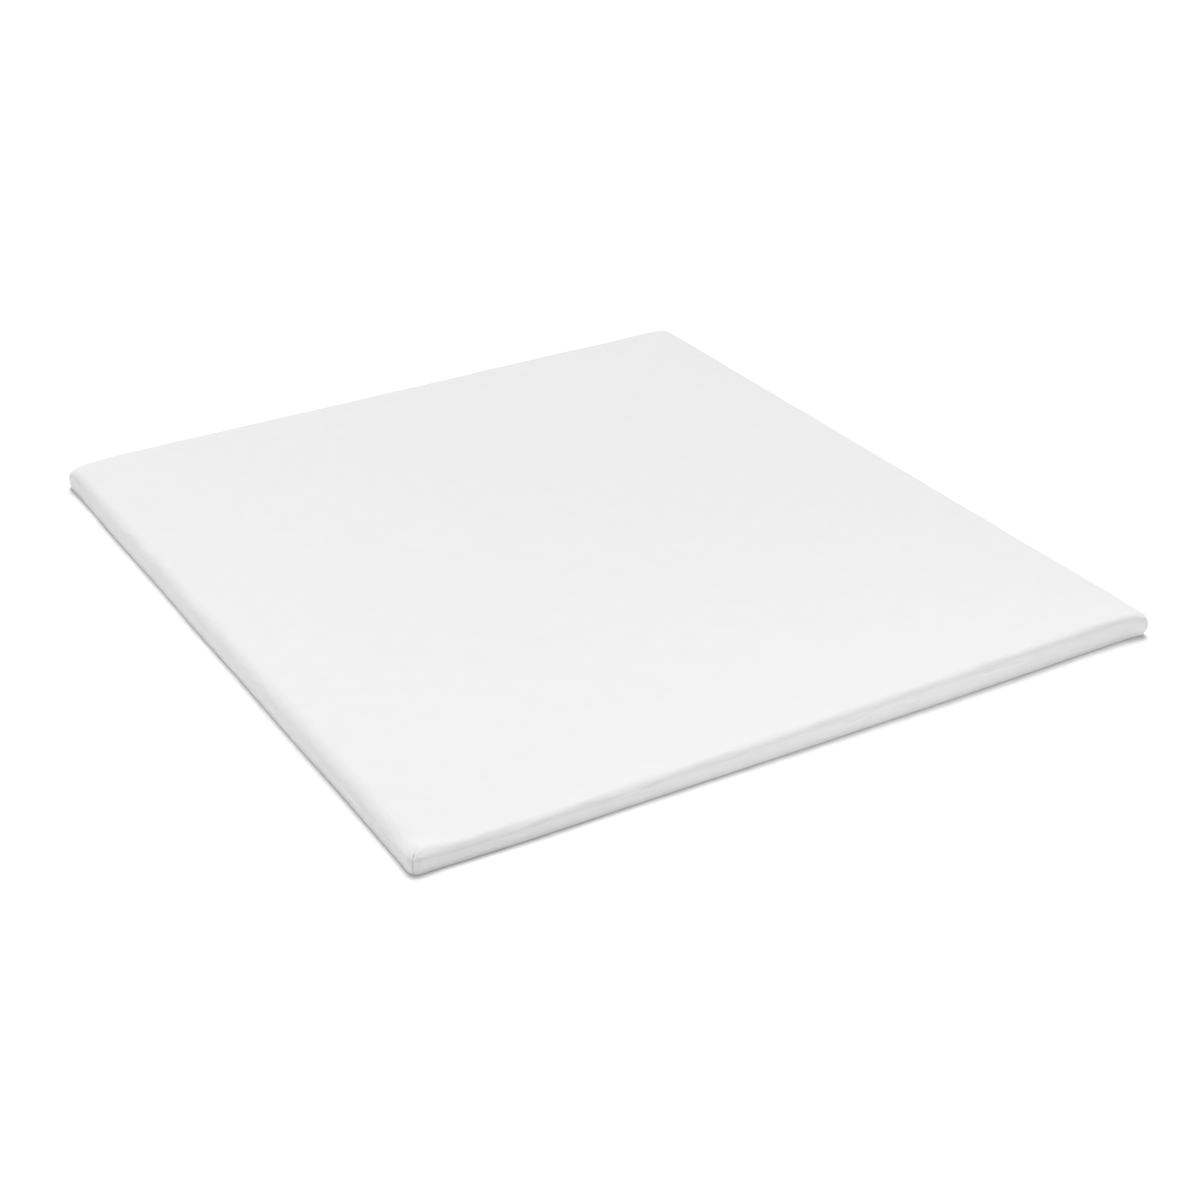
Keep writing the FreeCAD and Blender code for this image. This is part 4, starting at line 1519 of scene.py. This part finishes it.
@dataclass
class LinerHalf:
    """Half of the thin knitted bag round the foam: an upper or a lower tray."""

    bed: Bed
    outline: Outline
    name: str
    node: str
    upper: bool
    level: float
    edge_in: tuple[float, ...]
    edge_up: tuple[float, ...]
    join: float = 32.9 * MM
    inset: float = 3.6 * MM
    zip_room: float = 0.4 * MM
    radius: float = 0.0315
    patch_inset: float = 0.09

    def build(self, finish: Cloth) -> bpy.types.Object:
        """Make the tray: a wall from the join, a quarter ellipse, and a flat face.

        Args:
            finish: The knit's finish.

        Returns:
            The piece.
        """
        out = self.outline
        across, up = out.by_side(self.edge_in), out.by_side(self.edge_up)
        way = -1.0 if self.upper else 1.0
        end = self.level + way * up
        insets = [np.full(out.count, self.inset + 1.3 * MM), np.full(out.count, self.inset + 0.3 * MM)]
        levels = [np.full(out.count, self.join + way * 0.3 * MM), np.full(out.count, self.join)]
        for step in np.linspace(0.08, 1, 9):
            insets.append(np.full(out.count, self.inset))
            levels.append(self.join + (end - self.join) * step)
        for turn in np.linspace(0, QUARTER, 11)[1:]:
            insets.append(self.inset + across * (1 - math.cos(turn)))
            levels.append(end - way * up * math.sin(turn))
        edge = insets[-1]
        for more in (0.012, 0.03, 0.03):
            insets.append(edge + more)
            levels.append(np.full(out.count, self.level))
        sharpness = np.zeros(len(levels))
        sharpness[-1] = 1.0
        inset = np.array(insets) + self.bed.sway(out) + out.by_side((0.0, 0.0, self.zip_room, 0.0))
        level = np.array(levels)
        if not self.upper:
            inset, level, sharpness = inset[::-1], level[::-1], sharpness[::-1]
        ripple = out.ripple(Ripple(0.12 * MM, (0.04, 0.2), (0.02, 0.05), seed=47), level)
        inset = inset + np.abs(ripple) * 0.5
        radius = np.full((len(level), 1), self.radius)
        casing = Casing(
            out, inset, level, radius, sharpness, self.patch_inset, not self.upper, self.upper
        )
        shell = casing.shell()
        self.bed.settle(shell.points)
        piece = dressed(shell.made(self.name), finish.material())
        return settled(piece, "mattress", "liner_knit", self.node)


@dataclass
class HiddenSeams:
    """The overlocked seam allowances inside the cover and the liner."""

    bed: Bed
    outline: Outline
    wrap: float = 5.0 * MM

    def _along(self, inset: float, level: float, radius: float) -> np.ndarray:
        """Give a path round the outline.

        Args:
            inset: How far inside the outline it runs.
            level: Its height above the floor.
            radius: Its corners' radius.

        Returns:
            The path's points, (columns, 3).
        """
        out = self.outline
        wave = out.ripple(Ripple(0.12 * MM, (0.03, 0.2), (9.0, 10.0), seed=53))
        plan = out.place((inset + self.bed.sway(out) + wave)[None], np.full((1, 1), radius))[0]
        path = np.concatenate((plan, np.full((out.count, 1), level) + wave[:, None]), axis=1)
        self.bed.settle(path)
        return path

    def _thickness(self, path: np.ndarray, half: float) -> np.ndarray:
        """Give an overlocked edge's half thickness, which swells at each loop of thread.

        Args:
            path: The edge's path, (n, 3).
            half: The plain half thickness.

        Returns:
            The half thickness at each point: half * (1 + 0.12 sin(2 pi run / wrap)).
        """
        step = np.linalg.norm(np.diff(path, axis=0, prepend=path[:1]), axis=1)
        return half * (1 + 0.12 * np.sin(np.cumsum(step) * TAU / self.wrap))

    def _sewn(
        self, shell: Shell, name: str, node: str, material: bpy.types.Material
    ) -> bpy.types.Object:
        """Make a seam's piece, which stays with the mattress."""
        return settled(dressed(shell.made(name), material), "mattress", "seam_thread", node)

    def build(self, finish: Hard) -> list[bpy.types.Object]:
        """Make the liner's seam, the cover's lower seam and the four darts' allowances.

        Args:
            finish: The thread's finish.

        Returns:
            The pieces.
        """
        material = finish.material()
        upright = (0.0, 0.0, 1.0)
        path = self._along(5.4 * MM, 32.9 * MM, 0.031)
        half = self._thickness(path, 0.75 * MM)
        shell = tube(path, half * 0.8, half, 6, upright, closed=True)
        made = [self._sewn(shell, "liner_join", "liner_seam", material)]
        path = self._along(3.9 * MM, 4.5 * MM, 0.021)
        at, beside = self.outline.columns, self.bed.beside(self.outline)
        open_part = (at["side"] == Side.REAR.value) & (np.abs(beside) < self.bed.zip_half + 5 * MM)
        first = int(np.flatnonzero(open_part)[-1]) + 1
        path = np.roll(path, -first, axis=0)[: int((~open_part).sum())]
        half = self._thickness(path, 0.8 * MM)
        shell = tube(path, half, half, 6, upright)
        made.append(self._sewn(shell, "lower_join", "bottom_seam", material))
        places = {
            "front_left": (-1, -1), "front_right": (1, -1), "rear_right": (1, 1), "rear_left": (-1, 1),
        }
        for word, (way_x, way_y) in places.items():
            made.append(self._dart(word, way_x, way_y, material))
        return made

    def _dart(
        self, word: str, way_x: int, way_y: int, material: bpy.types.Material
    ) -> bpy.types.Object:
        """Make one dart's allowance: a thin upright band that tapers off at its top.

        Args:
            word: Which corner, in words.
            way_x: 1 on the right, -1 on the left.
            way_y: 1 at the rear, -1 at the front.
            material: The thread's material.

        Returns:
            The piece.
        """
        level = np.linspace(6.2, 39.5, 45) * MM
        share = np.linspace(0, 1, 45)
        deep = 0.0108 + 3.5 * MM * share**2
        x = way_x * (self.bed.half_x - deep)
        y = way_y * (self.bed.half_y - deep)
        path = np.stack((x, y, level), axis=1)
        self.bed.settle(path)
        taper = ease(1.0, 0.75, share) * 0.8 + 0.2
        swell = self._thickness(path, 0.45 * MM) * taper
        shell = tube(path, swell, 1.2 * MM * taper, 8, (float(way_x), float(way_y), 0.0))
        return self._sewn(shell, "dart_join_" + word, "dart_seam_" + word, material)


# --------------------------------------------------------------------- the zip

@dataclass
class Zip:
    """The coil zip in the head end: tapes, coils, stops and rows of stitches."""

    bed: Bed
    face: float = 0.999
    pitch: float = 1.670 / 980
    turns: int = 997
    wire: float = 0.29 * MM
    coil_out: float = 1.4 * MM
    tape_half_length: float = 0.858
    tape_width: float = 0.012
    stitch: float = 2.1 * MM
    stitch_pitch: float = 3.0 * MM

    def _coil(self, upper: bool) -> Shell:
        """Wind a filament: a flattened helix whose heads reach just past the middle line.

        A point is (pitch * turns so far, out + deep * sin(turn), -half * cos(turn)).

        Args:
            upper: Whether it is the upper coil; the lower one is half a pitch along.

        Returns:
            The coil.
        """
        points = 8
        turn = np.arange(self.turns * points + 1) / points * TAU
        x = self.pitch * (turn / TAU - self.turns / 2)
        head, heel = -0.22 * MM, 3.0 * MM
        middle, half = (head + heel) / 2, (heel - head) / 2 - self.wire
        z = middle - half * np.cos(turn)
        y = self.coil_out - 0.25 * MM + (self.coil_out - 0.30 * MM - self.wire) * np.sin(turn)
        if not upper:
            z, x = -z, x + self.pitch / 2
        inside = np.abs(x) < self.bed.zip_half - 0.4 * MM
        path = np.stack((x, self.face + y, self.bed.zip_level + z), axis=1)[inside]
        return tube(path, self.wire, self.wire, 4, (1.0, 0.0, 0.0))

    def _tape(self, upper: bool) -> Shell:
        """Weave a tape: a flat band with a thicker edge, slightly wavy along its length.

        Args:
            upper: Whether it is the upper tape.

        Returns:
            The tape, a twelve-sided section carried along the zip.
        """
        along = np.linspace(-self.tape_half_length, self.tape_half_length, 320)
        wave = Ripple(0.08 * MM, (0.06, 0.3), (9.0, 10.0), seed=61 + upper).at(along, 0.0)
        way = 1.0 if upper else -1.0
        section = np.array((
            (1.25, -0.55), (1.25, -0.08), (1.7, -0.02), (4.0, -0.04), (8.0, -0.04), (12.6, -0.04),
            (13.15, -0.12), (13.2, -0.42), (12.6, -0.52), (8.0, -0.52), (4.0, -0.52), (1.7, -0.58),
        )) * MM
        if not upper:
            section = section[::-1]
        y = self.face + section[None, :, 1] + wave[:, None] * 0.4
        z = self.bed.zip_level + way * section[None, :, 0] + wave[:, None]
        x = np.broadcast_to(along[:, None], y.shape)
        points = np.stack((x, y, z), axis=-1)
        faces = [grid_faces(*y.shape)] + ends(*y.shape)
        return Shell(points.reshape(-1, 3), [part[:, ::-1] for part in faces])

    def _stitches(self, level: float) -> Shell:
        """Sew a row: short rounded stitches whose ends dip into the cloth.

        A stitch's height is dip * (1 - s^4), with s from -1 to 1 along it.

        Args:
            level: The row's height above the floor.

        Returns:
            The row.
        """
        along = np.linspace(-0.5, 0.5, 5)
        dip = 0.28 * MM * (1 - (2 * along) ** 4)
        path = np.stack((along * self.stitch, dip, np.zeros(5)), axis=1)
        thick = 0.2 * MM * (1 - 0.45 * np.abs(2 * along) ** 3)
        single = tube(path, thick * 1.3, thick, 5, (0.0, 1.0, 0.0))
        count = int((2 * self.bed.zip_half - 8 * MM) / self.stitch_pitch)
        x = (np.arange(count) - (count - 1) / 2) * self.stitch_pitch
        wander = Ripple(0.10 * MM, (0.02, 0.2), (9.0, 10.0), seed=67).at(x, 0.0)
        offsets = np.stack((x, np.full(count, self.bed.half_y), level + wander), axis=1)
        return single.repeated(offsets)

    def _stop(self, x: float) -> Shell:
        """Press a stop: a rounded clip over both coils, whose middle lies at x."""
        outline = oval(1.5 * MM, 4.0 * MM, 5.0, 28)
        axes = np.array(((1.0, 0, 0), (0, 0, -1.0), (0, 1.0, 0)))
        layers = rounded(0.0, 3.2 * MM, 0.6 * MM)
        return plate(outline, layers, axes, (x, self.face + 0.05 * MM, self.bed.zip_level))

    def build(self, tape: Cloth, filament: Hard, thread: Hard, enamel: Hard) -> list[bpy.types.Object]:
        """Make the zip's pieces that stay with the mattress.

        Args:
            tape: The tapes' finish.
            filament: The coils' finish.
            thread: The stitches' finish.
            enamel: The stops' finish.

        Returns:
            The pieces.
        """
        made = []
        weave, wire, sewn, hard = (kind.material() for kind in (tape, filament, thread, enamel))
        for upper, word in ((True, "upper"), (False, "lower")):
            band = dressed(self._tape(upper).made("zip_band_" + word), weave)
            made.append(settled(band, "mattress", "zip_tape", "zip_tape_" + word))
            coil = dressed(self._coil(upper).made("zip_filament_" + word), wire)
            made.append(settled(coil, "mattress", "zip_coil", "zip_coil_" + word))
            low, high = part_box("zip_stitch_" + word)
            row = dressed(self._stitches((low[2] + high[2]) / 2).made("zip_sewing_" + word), sewn)
            made.append(settled(row, "mattress", "seam_thread", "zip_stitch_" + word))
        for word in ("closed_end", "open_end"):
            low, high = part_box("zip_stop_" + word)
            clip = dressed(self._stop((low[0] + high[0]) / 2).made("zip_clip_" + word), hard)
            made.append(settled(clip, "mattress", "zip_metal", "zip_stop_" + word))
        return made


@dataclass
class Slider:
    """The zip's slider: two shaped wings, side flanges, the divider and the bridge."""

    centre: tuple[float, float, float]
    half_length: float = 5.5 * MM
    half_width: float = 4.6 * MM
    outer_wing: tuple[float, float] = (1.0017, 1.0028)
    inner_wing: tuple[float, float] = (0.9970, 0.9981)
    flange_span: tuple[float, float] = (0.9994, 1.0021)
    divider_span: tuple[float, float] = (0.9979, 1.0019)
    bridge_foot: float = 1.0025

    def build(self, finish: Hard) -> bpy.types.Object:
        """Make the slider as one mesh of closed shells.

        Args:
            finish: The enamel.

        Returns:
            The piece.
        """
        x, _, z = self.centre
        out = np.array(((0, 0, 1.0), (1.0, 0, 0), (0, 1.0, 0)))
        shape = oval(self.half_width, self.half_length, 4.0, 40, 0.10)
        outer = plate(shape, rounded(*self.outer_wing, 0.4 * MM), out, (x, 0.0, z))
        inner = plate(shape, rounded(*self.inner_wing, 0.4 * MM), out, (x, 0.0, z))
        parts = [inner]
        for way in (-1, 1):
            flange = oval(0.58 * MM, 4.9 * MM, 5.0, 20)
            layers = rounded(*self.flange_span, 0.25 * MM)
            parts.append(plate(flange, layers, out, (x, 0.0, z + way * 3.85 * MM)))
        divider = oval(0.4 * MM, 2.2 * MM, 3.0, 20)
        layers = rounded(*self.divider_span, 0.1 * MM)
        parts.append(plate(divider, layers, out, (x - 2.9 * MM, 0.0, z)))
        turn = np.linspace(math.pi, 0, 29)
        cos, sin = np.cos(turn), np.sin(turn)
        arch_x = 3.45 * MM * np.sign(cos) * np.abs(cos) ** 0.45
        arch_y = self.bridge_foot + 3.6 * MM * np.abs(sin) ** 0.5
        path = np.stack((x + arch_x, arch_y, np.full_like(turn, z)), axis=1)
        parts.append(tube(path, 0.48 * MM, 1.0 * MM, 12, (0.0, 0.0, 1.0), square=0.6))
        piece = dressed(outer.joined(*parts).made("slider_body"), finish.material())
        return settled(piece, "slider", "zip_metal", "zip_slider")


@dataclass
class PullTab:
    """The slider's pull: a pin and two arms that carry a blank bordered plate."""

    pin: tuple[float, float, float]
    reach: float = 28.0 * MM
    half_width: float = 3.1 * MM
    half_skin: float = 0.65 * MM

    def build(self, finish: Hard) -> bpy.types.Object:
        """Make the pull as one mesh of closed shells.

        Args:
            finish: The enamel.

        Returns:
            The piece.
        """
        x, y, z = self.pin
        out = np.array(((0, 0, 1.0), (1.0, 0, 0), (0, 1.0, 0)))
        start = 4.4 * MM
        half = (self.reach - start) / 2
        shape = oval(self.half_width, half, 5.5, 56)
        skin = self.half_skin
        layers = [
            (-skin + 0.3 * MM, 1.2 * MM), (-skin + 0.3 * MM, 1.05 * MM), (-skin, 0.85 * MM),
            (-skin, 0.3 * MM), (-skin * 0.7, 0.05 * MM), (0.0, 0.0), (skin * 0.7, 0.05 * MM),
            (skin, 0.3 * MM), (skin, 0.85 * MM), (skin - 0.3 * MM, 1.05 * MM),
            (skin - 0.3 * MM, 1.2 * MM),
        ]
        body = plate(shape, layers, out, (x + start + half, y, z))
        step = np.linspace(0, 1, 21)
        loop = np.stack((
            x + (start + 1.2 * MM) * (1 - np.sin(step * math.pi) ** 0.55),
            np.full_like(step, y),
            z + 2.35 * MM * np.sign(np.cos(step * math.pi)) * np.abs(np.cos(step * math.pi)) ** 0.5,
        ), axis=1)
        eye = tube(loop, 0.68 * MM, 0.62 * MM, 10, (0.0, 1.0, 0.0))
        piece = dressed(body.joined(eye).made("pull_plate"), finish.material())
        return settled(piece, "pull_tab", "zip_metal", "zip_pull_tab")


@dataclass
class CareLabel:
    """A blank satin ribbon folded into a flat loop and caught in the side."""

    bed: Bed
    gap: float = 0.45 * MM
    skin: float = 0.16 * MM
    flat: tuple[float, float] = (0.036, 0.086)

    def build(self, finish: Cloth) -> bpy.types.Object:
        """Make the loop: a long narrow racetrack in section, thickened, and curled a little.

        Args:
            finish: The satin.

        Returns:
            The piece.
        """
        low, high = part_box("care_label")
        bottom, top = low[2] + 1.2 * MM, high[2]
        rows, columns = 64, 25
        step = np.linspace(0, 1, rows)
        fold = np.clip((step - 0.46) / 0.08, 0, 1)
        level = np.where(step < 0.46, step / 0.46, np.where(step > 0.54, (1 - step) / 0.46, 1.0))
        level = bottom + (top - bottom - self.gap) * level + self.gap * np.sin(fold * math.pi)
        away = self.gap * (1 - np.cos(fold * math.pi)) / 2
        along = np.linspace(low[1], high[1], columns)
        share = (level[:, None] - bottom) / (top - bottom)
        curl = (0.5 + 2.2 * bell(np.linspace(-1, 1, columns) - 0.7, 0.8))[None] * MM * share**2
        x = high[0] + 1.5 * MM + away[:, None] + curl * 0.6
        y = np.broadcast_to(along[None], x.shape)
        z = np.broadcast_to(level[:, None], x.shape)
        points = np.stack((x, y, z), axis=-1)
        quads = cells(np.arange(x.size).reshape(x.shape))[:, [0, 3, 2, 1]]
        arc = step * 2 * (top - bottom)
        pattern = np.stack(np.broadcast_arrays(along[None], arc[:, None]), axis=-1).reshape(-1, 2)
        piece = Shell(points.reshape(-1, 3), [quads], pattern).made("satin_label")
        wall = piece.modifiers.new("Ribbon", "SOLIDIFY")
        wall.thickness = self.skin
        wall.offset = 0.0
        dressed(piece, finish.material())
        return settled(piece, "mattress", "care_label", "care_label")


# ------------------------------------------------------------------ the studio

@dataclass(frozen=True)
class Studio:
    """A white floor, even sky light, a broad key light from behind and soft fills."""

    sky: float = 0.20
    key: float = 3.00
    key_from: tuple[float, float, float] = (0.27, 0.37, 1.0)
    key_angle: float = 0.62
    boxes: tuple = (
        ("front_fill", 12.8, (0.24, -2.8, 0.55), (0.20, -1.0, 0.05), (1.5, 0.6)),
        ("left_fill", 31.0, (-3.9, 0.1, 0.75), (-0.9, 0.1, 0.05), (3.0, 0.7)),
    )
    lens: float = 65.56
    eye: tuple[float, float, float] = (-2.275, -4.070, 2.417)
    azimuth: float = -30.156
    elevation: float = 28.603
    roll: float = -0.675
    sensor: float = 36.0
    floor_half: float = 30.0
    backdrop: float = 1.1

    def _floor(self) -> None:
        """Lay the floor: a big square with a faint, nearly even paint."""
        step = np.linspace(-self.floor_half, self.floor_half, 13)
        x, y = np.meshgrid(step, step, indexing="ij")
        points = np.stack((x, y, np.full_like(x, -0.2 * MM)), axis=-1).reshape(-1, 3)
        floor = Shell(points, [cells(np.arange(x.size).reshape(x.shape))]).made("studio_floor")
        material, bench, shader, place = started("white_floor")
        tone = placed(bench, Pattern.MOTTLE, {"Vector": place, "Broad": 900.0, "Fine": 90.0})
        colour = bench.mixed(tone.outputs["Tone"], (0.97, 0.97, 0.97), (0.96, 0.96, 0.96))
        bench.join(colour, shader, "Base Color")
        preset(shader, {"Roughness": 1.0, "Specular IOR Level": 0.0})
        dressed(floor, material)

    def _sky(self) -> None:
        """Light the scene evenly from all round; the backdrop itself shows pure white."""
        world = bpy.data.worlds.new("studio_sky")
        world.use_nodes = True
        bpy.context.scene.world = world
        bench = Bench(world.node_tree)
        shader = world.node_tree.nodes["Background"]
        seen = bench.node("LightPath", {}).outputs["Is Camera Ray"]
        strength = bench.range(seen, 0.0, 1.0, self.sky, self.backdrop)
        bench.join(strength, shader, "Strength")
        shader.inputs["Color"].default_value = (1, 1, 1, 1)

    def _lamp(
        self, name: str, kind: str, energy: float, place: Vector, target: Vector
    ) -> bpy.types.Light:
        """Hang a lamp at a place and aim it at a target.

        Args:
            name: The lamp's name.
            kind: SUN or AREA.
            energy: Its power in watts, or a sun's strength.
            place: Where it hangs.
            target: The point that it shines at.

        Returns:
            The lamp.
        """
        lamp = bpy.data.lights.new(name, kind)
        lamp.energy = energy
        item = bpy.data.objects.new(name, lamp)
        item.location = place
        item.rotation_euler = (target - place).to_track_quat("-Z", "Y").to_euler()
        item.visible_camera = False
        bpy.context.scene.collection.objects.link(item)
        return lamp

    def _camera(self) -> None:
        """Set the camera from its azimuth, elevation and roll."""
        turn, lift = math.radians(self.azimuth), math.radians(self.elevation)
        back = Vector((
            math.sin(turn) * math.cos(lift), -math.cos(turn) * math.cos(lift), math.sin(lift)
        ))
        right = Vector((0, 0, 1)).cross(back).normalized()
        up = back.cross(right)
        tilt = Matrix.Rotation(math.radians(self.roll), 3, back)
        right, up = tilt @ right, tilt @ up
        data = bpy.data.cameras.new("camera")
        data.lens = self.lens
        data.sensor_width = self.sensor
        data.clip_end = 100.0
        camera = bpy.data.objects.new("camera", data)
        axes = Matrix((right, up, back)).transposed().to_4x4()
        camera.matrix_world = Matrix.Translation(self.eye) @ axes
        bpy.context.scene.collection.objects.link(camera)
        bpy.context.scene.camera = camera

    def build(self) -> None:
        """Set up the camera, the floor, the sky and the lamps."""
        bpy.context.scene.view_settings.view_transform = "Standard"
        self._camera()
        self._floor()
        self._sky()
        key = self._lamp("key", "SUN", self.key, Vector(self.key_from) * 5, Vector((0, 0, 0)))
        key.angle = self.key_angle
        for name, energy, place, target, size in self.boxes:
            lamp = self._lamp(name, "AREA", energy, Vector(place), Vector(target))
            lamp.shape = "RECTANGLE"
            lamp.size, lamp.size_y = size


def main() -> None:
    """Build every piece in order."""
    logging.basicConfig(level=logging.INFO, format="%(name)s: %(message)s", stream=sys.stdout)
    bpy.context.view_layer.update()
    bed = Bed.packed()
    Studio().build()
    fine = bed.outline(24, (300, 332), bed.zip_half + 2 * MM)
    plain = bed.outline(8, (80, 88))
    StretchCase(bed, fine).build(JERSEY)
    Underside(bed, bed.outline(12, (200, 216), bed.zip_half + 6 * MM)).build(WARP_KNIT)
    bevel = ((3.0 * MM,) * 4, (3.0 * MM,) * 4)
    FoamLayer(
        bed, plain, "comfort_foam", "memory_foam_layer", "memory_foam", 32.9 * MM, 57.6 * MM, bevel,
        ((0.024, 0.015, 0.0140, 0.042), (0.0235, 0.0165, 0.0160, 0.0235)),
    ).build(COMFORT_FOAM)
    FoamLayer(
        bed, plain, "support_foam", "support_foam_layer", "support_foam", 2.2 * MM, 32.9 * MM,
        ((8 * MM,) * 4, (8 * MM,) * 4), bevel,
    ).build(SUPPORT_FOAM)
    LinerHalf(
        bed, plain, "liner_upper", "liner_top", True, 58.2 * MM,
        (0.021, 0.014, 0.0135, 0.038), (0.022, 0.016, 0.0158, 0.0275),
    ).build(LINER_KNIT)
    LinerHalf(
        bed, plain, "liner_lower", "liner_bottom", False, 1.3 * MM, (9 * MM,) * 4, (9 * MM,) * 4
    ).build(LINER_KNIT)
    HiddenSeams(bed, plain).build(THREAD)
    Zip(bed).build(TAPE_WEAVE, FILAMENT, THREAD, ENAMEL)
    low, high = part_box("zip_slider")
    centre = tuple((a + b) / 2 for a, b in zip(low, high))
    Slider(centre).build(ENAMEL)
    low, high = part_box("zip_pull_tab")
    PullTab((low[0] + 1.1 * MM, (low[1] + high[1]) / 2, (low[2] + high[2]) / 2)).build(ENAMEL)
    CareLabel(bed).build(SATIN)


if __name__ == "__main__":
    main()
